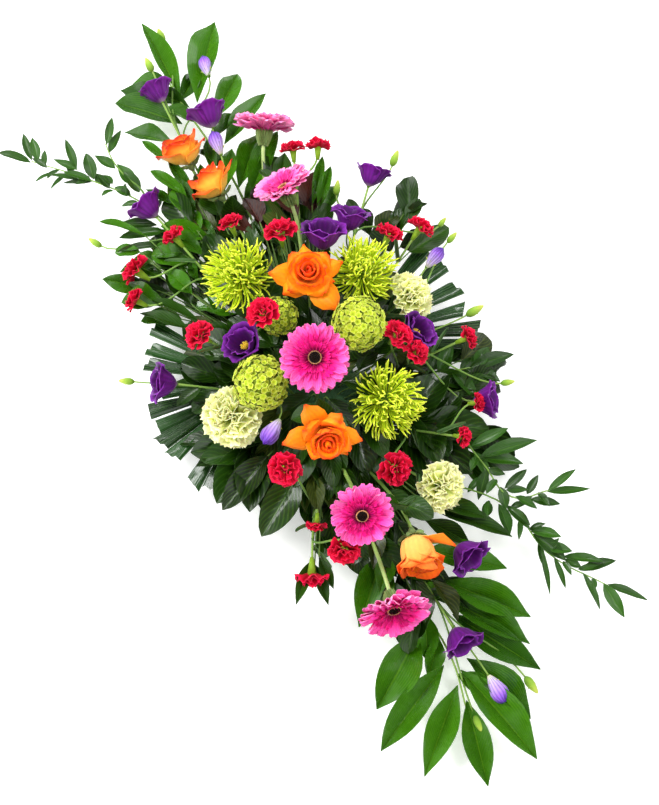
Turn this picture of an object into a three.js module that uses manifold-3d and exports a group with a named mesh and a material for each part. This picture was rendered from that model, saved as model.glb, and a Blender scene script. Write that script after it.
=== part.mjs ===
// A double-ended funeral arrangement: cut flowers and foliage pushed into a block of wet foam in a shallow
// tray, so that it lies on its tray and its two ends reach out low over the ground.
// Millimetres, +Z up. The origin is the middle of the tray's underside, and +X runs along the spray.
import * as THREE from "three";
import { mergeVertices } from "three/addons/utils/BufferGeometryUtils.js";
import Module from "manifold-3d";

const wasm = await Module();
wasm.setup();

// Driving dimensions
const FOAM = { length: 230, width: 110, height: 80, corner: 6 };
const TRAY = { height: 26, wall: 2.5, floor: 3, corner: 12, rim: 5, lip: 3 };
const SEAT_GAP = 0.3;
const ROOM = 0.35;
const HOLE_EASE = 0.5;
const STEM_DEPTH = 26;
const HEART = { lift: 45, shareX: 0.22, mostX: 74, shareY: 0.2, mostY: 18 };
// A stem that finds its way blocked starts again a step further off, and stands stiffer or bends more
const PUSH = { tries: 60, step: 4, lengthways: 2.4, low: 22, high: 62, limp: 0.2, stiff: 0.42, plain: 0.32 };
const SHOOT = { tries: 40, below: 0.22, down: 0.02, up: 0.004, low: 0.3, high: 0.9, limp: 0.2, stiff: 0.5 };
const LEAF_TRIES = { count: 11, turn: 24, close: 3, shrink: 0.035 };
const BLOOM_TRIES = 8;
const STEM_STEPS = 5;
const SHOOT_STEPS = 2;
const MARKS = 40;

// Where each bloom's face lies, how wide it is, and its heading and rise in degrees
const GERBERAS = [
  { at: [11, -6, 250], across: 90, faces: [-20, 75], open: 12 },
  { at: [203, -13, 190], across: 82, faces: [-14, 52], open: 14 },
  { at: [315, -10, 130], across: 96, faces: [-7, 18], open: 14 },
  { at: [-253, 41, 185], across: 86, faces: [-163, 47], open: 26 },
  { at: [-376, 59, 125], across: 88, faces: [156, 17], open: 18 },
];
const ROSES = [
  { at: [-107, 27, 238], across: 76, faces: [-19, 82], open: 50, tone: "orangeRose" },
  { at: [118, -26, 228], across: 74, faces: [-10, 40], open: 50, tone: "orangeRose" },
  { at: [282, 37, 147], across: 62, faces: [-6, -1], open: 22, tone: "orangeRose", tall: 0.8 },
  { at: [-398, -61, 110], across: 66, faces: [-164, 35], open: 38, tone: "yellowRose" },
  { at: [-325, -43, 140], across: 64, faces: [-160, 30], open: 38, tone: "yellowRose" },
];
const CHRYSANTHEMUMS = [
  { at: [-151, -59, 200], across: 100, faces: [-81, 70] },
  { at: [-104, 102, 200], across: 94, faces: [56, 80] },
  { at: [79, 74, 192], across: 100, faces: [19, 56] },
];
const VIBURNUMS = [
  { at: [-29, 66, 205], across: 67, faces: [25, 70] },
  { at: [0, -73, 193], across: 68, faces: [-56, 57] },
  { at: [-88, -20, 165], across: 50, faces: [-47, 68] },
];
const CARNATIONS = [
  { at: [27, -132, 170], across: 78, faces: [-52, 50] },
  { at: [-65, 167, 160], across: 68, faces: [84, 46] },
  { at: [193, 109, 135], across: 70, faces: [30, 45] },
];

// Branched stems with small blooms: each bloom's place and width. The first one ends the main stem.
const SPRAY_CARNATIONS = {
  far: [[-318, 78, 150, 32], [-311, 111, 150, 33], [-189, 16, 205, 42]],
  far_left: [[-260, -110, 130, 34], [-244, -173, 100, 42], [-204, -185, 95, 32], [-230, -39, 180, 33]],
  left: [[-94, -127, 185, 39], [-78, -45, 228, 40]],
  far_right: [[-163, 204, 130, 36], [-153, 155, 165, 36]],
  right: [[2, 209, 120, 31], [22, 128, 185, 32], [-2, 111, 203, 40]],
  near_right: [[133, 151, 135, 26], [93, 187, 125, 24], [157, 51, 172, 42]],
  near: [[233, -89, 90, 42], [228, -43, 145, 39], [178, -63, 120, 26], [116, -83, 190, 42]],
};
const LISIANTHUS = {
  far: [[-497, -60, 85, 41], [-435, -7, 100, 48], [-511, 17, 70, 25], [-371, -11, 115, 27]],
  far_left: [[-328, -130, 105, 45]],
  far_right: [[-260, 171, 130, 41], [-189, 114, 180, 43], [-171, 69, 200, 50]],
  right: [[-11, 145, 170, 45], [-112, 201, 130, 26], [89, 208, 105, 43]],
  left: [[-77, -192, 110, 45], [57, -79, 170, 31], [-58, -80, 201, 46]],
  near: [[373, 62, 85, 46], [278, 106, 110, 46], [431, 84, 60, 32]],
};
// Slender closed buds on the same stems
const LISIANTHUS_BUDS = {
  far: [[-599, -24, 45, 18], [-543, -57, 75, 18]],
  far_left: [[-310, -209, 75, 16]],
  far_right: [[-276, 209, 115, 18], [-167, 236, 110, 12], [-254, 118, 130, 16]],
  right: [[-36, 236, 105, 20], [-142, 241, 110, 14], [70, 240, 95, 14]],
  left: [[-102, -231, 85, 16]],
  near: [[468, 51, 40, 20], [444, 130, 45, 20]],
};

// Leafy sprigs: the way the stem runs, and where its leaves end
const SPRIGS = {
  ruscus_far: {
    look: "ruscus",
    broad: 38,
    route: [[-300, 0, 80], [-400, -18, 66], [-480, -28, 52], [-555, -38, 40]],
    leaves: [
      [-620, -45, 30], [-590, 55, 26], [-530, -100, 32], [-505, -128, 36], [-460, -120, 42], [-490, 60, 40],
      [-445, 84, 50], [-375, 80, 66], [-398, -112, 52],
    ],
  },
  ruscus_near: {
    look: "ruscus",
    broad: 40,
    route: [[220, 12, 74], [300, 32, 58], [375, 42, 42], [440, 42, 30]],
    leaves: [
      [535, 35, 20], [530, 100, 16], [495, -35, 16], [455, -80, 24], [400, -70, 34], [480, 118, 22],
      [420, 150, 30], [360, 160, 44], [298, 145, 62], [330, -62, 45],
    ],
  },
  soft_ruscus_far_left: {
    look: "softRuscus",
    broad: 15,
    route: [[-200, -78, 80], [-335, -125, 72], [-387, -183, 88], [-444, -251, 84]],
    leaves: [
      [-470, -292, 76], [-485, -249, 88], [-474, -240, 90], [-454, -199, 96], [-434, -223, 92],
      [-426, -179, 96], [-419, -169, 95], [-398, -144, 90], [-462, -130, 95], [-320, -190, 80],
      [-285, -180, 84], [-275, -205, 78], [-240, -150, 84],
    ],
  },
  soft_ruscus_near_right: {
    look: "softRuscus",
    broad: 15,
    route: [[150, 92, 84], [223, 180, 78], [290, 206, 64], [351, 266, 44]],
    leaves: [
      [384, 312, 36], [396, 271, 38], [381, 241, 40], [340, 212, 46], [340, 189, 46], [328, 288, 50],
      [300, 237, 62], [308, 224, 60], [278, 229, 66], [252, 169, 62], [262, 193, 74],
    ],
  },
  soft_ruscus_right: {
    look: "softRuscus",
    broad: 15,
    route: [[72, 130, 86], [158, 166, 92], [213, 185, 90], [220, 233, 88]],
    leaves: [
      [129, 216, 98], [158, 242, 96], [181, 216, 84], [185, 217, 92], [207, 275, 92], [234, 286, 82],
      [240, 241, 80], [225, 173, 80], [200, 145, 80],
    ],
  },
  soft_ruscus_middle_right: {
    look: "softRuscus",
    broad: 17,
    route: [[12, 130, 74], [26, 180, 80], [34, 218, 84]],
    leaves: [[35, 262, 82], [12, 232, 86], [62, 228, 88], [80, 190, 88], [-10, 190, 84]],
  },
  salal_left: {
    look: "salal",
    broad: 44,
    route: [[18, -76, 76], [40, -105, 84], [60, -128, 86]],
    leaves: [[92, -168, 72], [152, -106, 66], [124, -134, 92], [20, -178, 84], [100, -76, 96]],
  },
  salal_right: {
    look: "salal",
    broad: 44,
    route: [[60, 78, 80], [84, 112, 90], [100, 140, 92]],
    leaves: [[122, 190, 84], [168, 150, 84], [36, 168, 100], [182, 96, 92], [150, 110, 116]],
  },
};

// Trimmed fan palms: the point, the middle heading, the spread, and the reach at the two trimmed ends
const PALMS = {
  left: { point: [-52, -66, 50], heading: -90, spread: 98, reach: [168, 150], tilt: 1 },
  right: { point: [-66, 66, 56], heading: 95, spread: 58, reach: [172, 186], tilt: 6 },
};
const PALM = { pleats: 9, ridge: 0.035, thick: 1.2, inner: 14, trim: 6, square: 0.72, least: 0.5 };
const PALM_STALK = { radius: 3.2, dip: 0.08, steps: 2, behind: 11, under: 20 };

// Shapes of leaves and petals: how wide each is, station by station, from its root to its tip
const OUTLINES = {
  quill: [[0.6, 1]],
  oval: [[0.3, 0.86], [0.66, 0.9]],
  broad: [[0.22, 0.8], [0.5, 1], [0.8, 0.62]],
  leaflet: [[0.3, 0.9], [0.66, 0.86]],
  lobed: [[0.34, 1], [0.54, 0.6], [0.8, 0.66]],
  strap: [[0.4, 1]],
};

const foamBase = TRAY.floor + SEAT_GAP;
const foamTop = foamBase + FOAM.height;
const TINY = 1e-4;
const LEAST_OVERLAP = 0.001;

// Finishes
const finish = (color, roughness) =>
  new THREE.MeshStandardMaterial({ color, roughness, metalness: 0 });
const looks = {
  tray: finish(0x1f3324, 0.45),
  foam: finish(0x3f6b3c, 0.95),
  stem: finish(0x6f9440, 0.6),
  gerbera: finish(0xd8226b, 0.6),
  orangeRose: finish(0xe8641c, 0.6),
  yellowRose: finish(0xe89a34, 0.6),
  chrysanthemum: finish(0xc3d43a, 0.6),
  viburnum: finish(0xb4cc5a, 0.7),
  carnation: finish(0xdfe6bd, 0.75),
  sprayCarnation: finish(0xb81238, 0.75),
  lisianthus: finish(0x4a1f6e, 0.6),
  ruscus: finish(0x2f6428, 0.35),
  softRuscus: finish(0x3f7a35, 0.45),
  salal: finish(0x234d26, 0.4),
  palm: finish(0x1d4a2c, 0.35),
};

// Small measures
const vec = (x, y, z) => new THREE.Vector3(x, y, z);
const point = (list) => vec(list[0], list[1], list[2]);
const turn = (degrees) => (degrees * Math.PI) / 180;
const clamp = THREE.MathUtils.clamp;
const mix = THREE.MathUtils.lerp;

const facing = ([heading, rise]) => {
  const level = Math.cos(turn(rise));
  return vec(level * Math.cos(turn(heading)), level * Math.sin(turn(heading)), Math.sin(turn(rise)));
};

// Stems fan out from a short line along the middle of the foam.
const heartOf = (at) =>
  vec(
    clamp(at.x * HEART.shareX, -HEART.mostX, HEART.mostX),
    clamp(at.y * HEART.shareY, -HEART.mostY, HEART.mostY),
    HEART.lift,
  );

const outward = (at) => at.clone().sub(heartOf(at)).normalize();

// A repeatable stream of draws from 0 to 1.
const DRAW = { times: 1664525, plus: 1013904223, whole: 4294967296 };
const draws = (seed) => {
  let state = seed;
  return () => {
    state = (state * DRAW.times + DRAW.plus) % DRAW.whole;
    return state / DRAW.whole;
  };
};

// A step in some direction, longest lengthways and mostly upwards.
const strayed = (draw, spread, lengthways) => {
  const along = (draw() - 0.5) * lengthways * spread;
  const aside = (draw() - 0.5) * spread;
  return vec(along, aside, (draw() - 0.6) * spread);
};

// Closed meshes
const merged = (geometry) => {
  const bare = geometry.clone();
  bare.deleteAttribute("normal");
  bare.deleteAttribute("uv");
  return mergeVertices(bare, TINY);
};

const solidFrom = (geometry) => {
  const whole = merged(geometry);
  const vertProperties = Float32Array.from(whole.attributes.position.array);
  const corners = whole.index.array;
  const kept = [];
  for (let i = 0; i < corners.length; i += 3) {
    const [a, b, c] = [corners[i], corners[i + 1], corners[i + 2]];
    if (a !== b && b !== c && c !== a) kept.push(a, b, c);
  }
  return new wasm.Manifold(new wasm.Mesh({ numProp: 3, vertProperties, triVerts: Uint32Array.from(kept) }));
};

const reshape = (geometry, move) => {
  const places = geometry.attributes.position;
  const from = vec(0, 0, 0);
  for (let i = 0; i < places.count; i += 1) {
    from.fromBufferAttribute(places, i);
    const to = move(from, i);
    places.setXYZ(i, to.x, to.y, to.z);
  }
  return geometry;
};

// The same mesh with every corner moved outwards.
const swollen = (geometry, by) => {
  const whole = merged(geometry);
  whole.computeVertexNormals();
  const normals = whole.attributes.normal;
  const places = whole.attributes.position;
  for (let i = 0; i < places.count; i += 1) {
    places.setXYZ(
      i,
      places.getX(i) + normals.getX(i) * by,
      places.getY(i) + normals.getY(i) * by,
      places.getZ(i) + normals.getZ(i) * by,
    );
  }
  return whole;
};

// A blade lies along +Y: flat below, with a ridge along its face, and bent in an arc.
const LEAF_THICK = 1.7;
const blade = ({ length, width, thick = LEAF_THICK, stations, bend = 0 }) => {
  const rings = stations.length + 1;
  const arc = turn(bend);
  const edge = Math.sqrt(3) / 2;
  return reshape(new THREE.SphereGeometry(1, 3, rings, Math.PI / 2), (p) => {
    const ring = Math.round((Math.acos(clamp(-p.y, -1, 1)) / Math.PI) * rings);
    const inside = ring > 0 && ring < rings;
    const [along, share] = inside ? stations[ring - 1] : [ring / rings, 0];
    const round = Math.hypot(p.x, p.z);
    const across = inside ? (p.x / round / edge) * share * (width / 2) : 0;
    const through = inside ? (p.z / round) * (thick / 2) : 0;
    const swing = arc * along;
    const reach = arc === 0 ? length * along : (length * Math.sin(swing)) / arc;
    const lift = arc === 0 ? 0 : (length * (1 - Math.cos(swing))) / arc;
    return vec(across, reach - through * Math.sin(swing), lift + through * Math.cos(swing));
  });
};

// A flat round with its face up. A rule gives each corner of its edge a reach, an angle and a height.
const frill = (sides, above, below, corner) =>
  reshape(new THREE.SphereGeometry(1, sides, 2), (p) => {
    if (Math.abs(p.y) > 0.5) return vec(0, 0, p.y > 0 ? above : -below);
    const side = (Math.round((Math.atan2(-p.z, p.x) / (2 * Math.PI)) * sides) + sides) % sides;
    const { out, shift = 0, rise = 0 } = corner(side);
    const angle = ((side + shift) / sides) * 2 * Math.PI;
    return vec(out * Math.cos(angle), out * Math.sin(angle), rise);
  });

// A turned shape that stands on +Z. Its profile starts and ends on the axis.
const turned = (profile, sides) => {
  const points = profile.map(([r, z]) => new THREE.Vector2(r, z));
  return new THREE.LatheGeometry(points, sides).rotateX(Math.PI / 2);
};

// A turned bloom whose rims run in and out. A row holds its radius, its height and the rule of its edge.
const ruffled = (rows, sides) =>
  reshape(turned(rows, sides), (p, i) => {
    const [, , rule] = rows[i % rows.length];
    if (!rule) return p;
    const side = Math.floor(i / rows.length) % sides;
    const { stretch, rise } = rule(side);
    return vec(p.x * stretch, p.y * stretch, p.z + rise);
  });

// A few-sided rod along a curve.
const rod = (curve, radius, steps, sides = 3) => {
  const section = new THREE.Shape();
  for (let i = 0; i < sides; i += 1) {
    const angle = (2 * Math.PI * i) / sides;
    const draw = i === 0 ? "moveTo" : "lineTo";
    section[draw](radius * Math.cos(angle), radius * Math.sin(angle));
  }
  section.closePath();
  return new THREE.ExtrudeGeometry(section, { steps, bevelEnabled: false, extrudePath: curve });
};

// Places a shape with its +Z along a direction, after a turn about it.
const stood = (at, along, spin = 0) => {
  const lean = new THREE.Quaternion().setFromUnitVectors(vec(0, 0, 1), along);
  const about = new THREE.Quaternion().setFromAxisAngle(vec(0, 0, 1), spin);
  return new THREE.Matrix4().compose(at, lean.multiply(about), vec(1, 1, 1));
};

// Places a blade with its tip along a direction and its face towards another.
const laid = (at, along, face, bend = 0) => {
  const y = along.clone().normalize();
  const x = new THREE.Vector3().crossVectors(y, face).normalize();
  const z = new THREE.Vector3().crossVectors(x, y);
  const aim = new THREE.Matrix4().makeRotationX(turn(-bend / 2));
  return new THREE.Matrix4().makeBasis(x, y, z).setPosition(at).multiply(aim);
};

// Pieces
const pieces = [];
const taken = [];

const begin = (name, material, frame = new THREE.Matrix4()) => {
  const piece = { name, material, frame, solids: [] };
  pieces.push(piece);
  return piece;
};

const boxOf = (geometry) => {
  geometry.computeBoundingBox();
  return geometry.boundingBox;
};

const fuse = (piece, geometry) => {
  const solid = solidFrom(geometry);
  piece.solids.push(solid);
  taken.push({ piece, solid, box: boxOf(geometry) });
};

const hasRoom = (piece, geometry, inFoam = false) => {
  const wide = swollen(geometry, ROOM);
  const box = boxOf(wide);
  const others = taken.filter((other) => other.piece !== piece && !(inFoam && other.piece.name === "foam"));
  const near = others.filter((other) => other.box.intersectsBox(box));
  if (near.length === 0) return true;
  const solid = solidFrom(wide);
  return near.every((other) => solid.intersect(other.solid).volume() < LEAST_OVERLAP);
};

// Tries a shape in one way after another, and fuses the first that is clear of every other piece.
const fuseWhereClear = (piece, tries, make) => {
  for (let attempt = 0; attempt < tries; attempt += 1) {
    const geometry = make(attempt);
    if (hasRoom(piece, geometry)) {
      fuse(piece, geometry);
      return true;
    }
  }
  return false;
};

// To and fro in growing steps: 0, 1, -1, 2, -2 and so on.
const sway = (attempt) => (attempt % 2 === 1 ? 1 : -1) * Math.ceil(attempt / 2);

// Stems
const intoFoam = (heart, along) => {
  const half = vec(FOAM.length / 2, FOAM.width / 2, 0);
  const toX = (half.x - Math.sign(along.x) * heart.x) / Math.max(Math.abs(along.x), TINY);
  const toY = (half.y - Math.sign(along.y) * heart.y) / Math.max(Math.abs(along.y), TINY);
  const toZ = (foamTop - heart.z) / Math.max(along.z, TINY);
  return heart.clone().addScaledVector(along, Math.min(toX, toY, toZ) - STEM_DEPTH);
};

const stemCurve = (heart, head, face, stiff) => {
  const along = head.clone().sub(heart).normalize();
  const foot = intoFoam(heart, along);
  const run = foot.distanceTo(head) * stiff;
  return new THREE.CubicBezierCurve3(
    foot,
    foot.clone().addScaledVector(along, run),
    head.clone().addScaledVector(face, -run),
    head,
  );
};

const stemFeet = [];

// A stem goes in at the first of several spots from which it runs clear.
const pushIn = (piece, head, face, radius) => {
  const home = heartOf(head);
  const draw = draws(Math.round(Math.abs(head.x * 7 + head.y * 13 + head.z)) + 5);
  for (let attempt = 0; attempt < PUSH.tries; attempt += 1) {
    const heart = home.clone().add(strayed(draw, Math.sqrt(attempt) * PUSH.step, PUSH.lengthways));
    heart.z = clamp(heart.z, PUSH.low, PUSH.high);
    const curve = stemCurve(heart, head, face, mix(PUSH.limp, PUSH.stiff, draw()));
    const geometry = rod(curve, radius, STEM_STEPS);
    if (hasRoom(piece, geometry, true)) {
      fuse(piece, geometry);
      stemFeet.push({ piece, geometry });
      return curve;
    }
  }
  console.warn(`${piece.name}: no clear way for its stem`);
  const curve = stemCurve(home, head, face, PUSH.plain);
  const geometry = rod(curve, radius, STEM_STEPS);
  fuse(piece, geometry);
  stemFeet.push({ piece, geometry });
  return curve;
};

// A side shoot leaves a stem where it finds a clear way to its bloom.
const branchOff = (piece, main, head, face, radius) => {
  const near = nearestOn(main, head);
  const draw = draws(Math.round(Math.abs(head.x * 3 + head.y * 11 + head.z)) + 9);
  for (let attempt = 0; attempt < SHOOT.tries; attempt += 1) {
    const down = SHOOT.below + draw() * SHOOT.down * attempt;
    const back = clamp(near - down + SHOOT.up * attempt, SHOOT.low, SHOOT.high);
    const from = main.getPoint(back);
    const run = from.distanceTo(head) * mix(SHOOT.limp, SHOOT.stiff, draw());
    const curve = new THREE.CubicBezierCurve3(
      from,
      from.clone().addScaledVector(main.getTangent(back), run),
      head.clone().addScaledVector(face, -run),
      head,
    );
    const geometry = rod(curve, radius, SHOOT_STEPS);
    if (hasRoom(piece, geometry)) {
      fuse(piece, geometry);
      return curve;
    }
  }
  console.warn(`${piece.name}: no clear side shoot to ${head.toArray().map(Math.round)}`);
  return null;
};

const nearestOn = (curve, target) => {
  const apart = (mark) => curve.getPoint(mark / MARKS).distanceTo(target);
  let best = 0;
  for (let i = 1; i <= MARKS; i += 1) {
    if (apart(i) < apart(best)) best = i;
  }
  return best / MARKS;
};

// Leaves stand round a stem, each turned on from the last, and turn further where they have no room.
const GOLDEN = 137.5;
const leavesRound = (piece, curve, plan) => {
  const { from, to, count, length, width, outline, spread = 55, bend = -35 } = plan;
  for (let i = 0; i < count; i += 1) {
    const mark = mix(from, to, count > 1 ? i / (count - 1) : 0);
    const joint = curve.getPoint(mark);
    const along = curve.getTangent(mark).normalize();
    fuseWhereClear(piece, LEAF_TRIES.count, (attempt) => {
      const side = sideways(along, turn(GOLDEN * i + LEAF_TRIES.turn * sway(attempt)));
      const open = turn(spread - LEAF_TRIES.close * attempt);
      const way = along.clone().multiplyScalar(Math.cos(open)).addScaledVector(side, Math.sin(open));
      const face = along.clone().multiplyScalar(Math.sin(open)).addScaledVector(side, -Math.cos(open));
      const shrink = 1 - LEAF_TRIES.shrink * attempt;
      const size = { length: length * shrink, width: width * shrink };
      const shape = blade({ ...size, stations: OUTLINES[outline], bend });
      return shape.applyMatrix4(laid(joint, way, face, bend));
    });
  }
};

const sideways = (along, angle) => {
  const level = new THREE.Vector3().crossVectors(along, vec(0, 0, 1)).normalize();
  return level.applyAxisAngle(along, angle);
};

// Gerberas: two layers of rays, with notches between them, round a low button
const CUP_SIDES = 7;
const GERBERA = { disc: 0.1, height: 17, rays: 13, notch: 0.42, calyx: 9, stem: 2.6, cup: 12, lift: 3 };
const SHRINK = 0.02;

const gerberaHead = ({ at, across, faces, open }, number) => {
  const face = facing(faces);
  const seat = point(at).addScaledVector(face, -GERBERA.height);
  const frame = stood(seat, face);
  const piece = begin(`gerbera_${number}_head`, looks.gerbera, frame);
  const disc = across * GERBERA.disc;
  fuseWhereClear(piece, BLOOM_TRIES, (attempt) => {
    const slope = Math.tan(turn(open + GERBERA.lift * attempt));
    const reach = (across / 2) * (1 - SHRINK * attempt);
    const raysOf = (first) => (side) => {
      const stretch = (side + first) % 3 === 0 ? GERBERA.notch : 1;
      return { stretch, rise: (stretch - 1) * reach * slope };
    };
    const rows = [
      [0, 0],
      [reach, 4 + reach * slope, raysOf(0)],
      [reach * 0.36, 7 + reach * 0.36 * slope],
      [reach * 0.92, 8 + reach * slope, raysOf(2)],
      [disc, 9 + disc * slope],
      [0, 14],
    ];
    return ruffled(rows, GERBERA.rays * 3).applyMatrix4(frame);
  });
};

const gerberaStem = ({ at, faces }, number) => {
  const face = facing(faces);
  const piece = begin(`gerbera_${number}_stem`, looks.stem);
  const seat = point(at).addScaledVector(face, -GERBERA.height - SEAT_GAP);
  const cup = [[0, -GERBERA.cup], [GERBERA.calyx, 0], [0, 0]];
  fuse(piece, turned(cup, CUP_SIDES).applyMatrix4(stood(seat, face)));
  pushIn(piece, seat.clone().addScaledVector(face, -5), face, GERBERA.stem);
};

// Roses: three rings of petals, one inside the other, round a closed middle
const ROSE = { height: 0.6, seat: 0.1, calyx: 8, stem: 2.2, petals: 5, notch: 0.84, dip: 0.045 };
const ROSE_RIM = { closed: 0.56, open: 0.32, from: 20, range: 30, up: 0.04 };

const roseHead = ({ at, across, faces, open, tone, tall = ROSE.height }, number) => {
  const face = facing(faces);
  const drawn = tall / ROSE.height;
  const seat = point(at).addScaledVector(face, -across * tall);
  const frame = stood(seat, face);
  const piece = begin(`rose_${number}_head`, looks[tone], frame);
  const petalled = (ring) => (side) => {
    const notch = side % 3 === ring;
    return { stretch: notch ? ROSE.notch : 1, rise: notch ? -ROSE.dip * across : 0 };
  };
  const outer = mix(ROSE_RIM.closed, ROSE_RIM.open, (open - ROSE_RIM.from) / ROSE_RIM.range);
  fuseWhereClear(piece, BLOOM_TRIES, (attempt) => {
    const high = outer + ROSE_RIM.up * attempt;
    const rows = [
      [0, 0],
      [ROSE.seat, 0],
      [0.27, high * 0.5],
      [0.5 - SHRINK * attempt, high, petalled(0)],
      [0.29, Math.min(high * 0.94, 0.38)],
      [0.36, 0.52, petalled(1)],
      [0.19, 0.42],
      [0.22, 0.6, petalled(2)],
      [0.1, 0.5],
      [0, 0.6],
    ].map(([r, z, rule]) => [r * across, z * across * drawn, rule]);
    return ruffled(rows, ROSE.petals * 3).applyMatrix4(frame);
  });
};

const roseStem = ({ at, across, faces, tall = ROSE.height }, number) => {
  const face = facing(faces);
  const piece = begin(`rose_${number}_stem`, looks.stem);
  const seat = point(at).addScaledVector(face, -across * tall - SEAT_GAP);
  const hip = [[0, -12], [6, -8], [ROSE.calyx, 0], [0, 0]];
  fuse(piece, turned(hip, 6).applyMatrix4(stood(seat, face)));
  const curve = pushIn(piece, seat.clone().addScaledVector(face, -6), face, ROSE.stem);
  return { piece, curve };
};

// Spider chrysanthemums
const CHRYSANTHEMUM = {
  height: 34,
  core: 11,
  stem: 2.2,
  quill: 5,
  foot: 4,
  stagger: 0.41,
  tries: 6,
  up: 9,
  shrink: 0.04,
};

const chrysanthemumHead = ({ at, across, faces }, number) => {
  const face = facing(faces);
  const seat = point(at).addScaledVector(face, -CHRYSANTHEMUM.height);
  const frame = stood(seat, face);
  const piece = begin(`chrysanthemum_${number}_head`, looks.chrysanthemum, frame);
  const profile = [[0, 0], [7, 0], [CHRYSANTHEMUM.core, 8], [CHRYSANTHEMUM.core, 16], [6, 22], [0, 24]];
  fuse(piece, turned(profile, CUP_SIDES).applyMatrix4(frame));
  const rows = [
    { count: 12, lift: 2, reach: 0.5, bend: 34, foot: 5 },
    { count: 10, lift: 22, reach: 0.46, bend: 48, foot: 9 },
    { count: 7, lift: 44, reach: 0.36, bend: 58, foot: 12 },
    { count: 4, lift: 66, reach: 0.27, bend: 50, foot: 15 },
  ];
  rows.forEach(({ count, lift, reach, bend, foot }, row) => {
    for (let i = 0; i < count; i += 1) {
      const angle = (2 * Math.PI * (i + row * CHRYSANTHEMUM.stagger)) / count;
      const about = new THREE.Matrix4().makeRotationZ(angle);
      about.multiply(new THREE.Matrix4().makeTranslation(0, CHRYSANTHEMUM.foot, foot));
      fuseWhereClear(piece, CHRYSANTHEMUM.tries, (attempt) => {
        const rise = new THREE.Matrix4().makeRotationX(turn(lift + CHRYSANTHEMUM.up * attempt));
        const shape = blade({
          length: across * reach * (1 - CHRYSANTHEMUM.shrink * attempt),
          width: CHRYSANTHEMUM.quill,
          thick: CHRYSANTHEMUM.quill,
          stations: OUTLINES.quill,
          bend,
        });
        return shape.applyMatrix4(frame.clone().multiply(about).multiply(rise));
      });
    }
  });
};

const chrysanthemumStem = ({ at, faces }, number) => {
  const face = facing(faces);
  const piece = begin(`chrysanthemum_${number}_stem`, looks.stem);
  const seat = point(at).addScaledVector(face, -CHRYSANTHEMUM.height - SEAT_GAP);
  const cup = [[0, -9], [8, 0], [0, 0]];
  fuse(piece, turned(cup, CUP_SIDES).applyMatrix4(stood(seat, face)));
  const curve = pushIn(piece, seat.clone().addScaledVector(face, -4), face, CHRYSANTHEMUM.stem);
  return { piece, curve };
};

// Snowball viburnums
const VIBURNUM = {
  florets: 22,
  usual: 67,
  floret: 0.175,
  cover: 1.78,
  core: 0.66,
  stem: 2.2,
  foot: 0.86,
  seat: 0.43,
};

const viburnumHead = ({ at, across, faces }, number) => {
  const face = facing(faces);
  const radius = across / 2;
  const centre = point(at);
  const frame = stood(centre, face);
  const piece = begin(`viburnum_${number}_head`, looks.viburnum, frame);
  const core = radius * VIBURNUM.core;
  const foot = -radius * VIBURNUM.foot;
  const waist = core * 0.9;
  const neck = [[0, foot], [4, foot], [4, -core * 0.95]];
  const profile = [...neck, [waist, -core * 0.4], [waist, core * 0.4], [0, core]];
  fuse(piece, turned(profile, CUP_SIDES).applyMatrix4(frame));
  const count = Math.round(VIBURNUM.florets * (across / VIBURNUM.usual) ** 2);
  for (let i = 0; i < count; i += 1) {
    const rise = 1 - (VIBURNUM.cover * (i + 0.5)) / count;
    const out = Math.sqrt(1 - rise * rise);
    const way = vec(out * Math.cos(turn(GOLDEN * i)), out * Math.sin(turn(GOLDEN * i)), rise);
    const wide = across * VIBURNUM.floret;
    fuseWhereClear(piece, 4, (attempt) => {
      const shape = frill(5, -1.4, radius * 0.52, () => ({ out: wide * (1 - 0.1 * attempt) }));
      const spot = way.clone().multiplyScalar(radius - 2 * attempt);
      return shape.applyMatrix4(frame.clone().multiply(stood(spot, way, i)));
    });
  }
};

const viburnumStem = ({ at, across, faces }, number) => {
  const face = facing(faces);
  const piece = begin(`viburnum_${number}_stem`, looks.stem);
  const seat = point(at).addScaledVector(face, -across * VIBURNUM.seat - SEAT_GAP);
  return { piece, curve: pushIn(piece, seat, face, VIBURNUM.stem) };
};

// Carnations: four ruffled tiers over a long cup
const CARNATION = { height: 0.42, sides: 14, out: 1.03, in: 0.93, wave: 2.6, stem: 2, seat: 10 };

const carnation = ({ at, across, faces }, number) => {
  const face = facing(faces);
  const height = across * CARNATION.height;
  const seat = point(at).addScaledVector(face, -height);
  const frame = stood(seat, face);
  const piece = begin(`carnation_${number}`, looks.carnation, frame);
  const wavy = (tier) => (side) => {
    const up = (side + tier) % 2;
    return { stretch: up ? CARNATION.out : CARNATION.in, rise: up ? CARNATION.wave : -CARNATION.wave };
  };
  fuseWhereClear(piece, BLOOM_TRIES, (attempt) => {
    const wide = across * (1 - SHRINK * attempt);
    const rows = [
      [0, -16],
      [4, -14],
      [8, 2],
      [0.5 * wide, 0.3 * height, wavy(0)],
      [0.27 * wide, 0.36 * height],
      [0.46 * wide, 0.58 * height, wavy(1)],
      [0.21 * wide, 0.6 * height],
      [0.34 * wide, 0.84 * height, wavy(0)],
      [0.13 * wide, 0.78 * height],
      [0.2 * wide, height, wavy(1)],
      [0, 0.9 * height],
    ];
    return ruffled(rows, CARNATION.sides).applyMatrix4(frame);
  });
  return { piece, seat: seat.clone().addScaledVector(face, -CARNATION.seat), face };
};

const grassLeaf = { from: 0.7, to: 0.82, count: 2, length: 52, width: 6, outline: "strap", bend: -70 };
const carnationStem = ({ piece, seat, face }) => {
  const curve = pushIn(piece, seat, face, CARNATION.stem);
  leavesRound(piece, curve, grassLeaf);
};

// A small ruffled bloom of two tiers on its long green cup
const SMALL = { sides: 8, out: 1.04, in: 0.9, wave: 1.6, stem: 1.7 };

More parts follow.
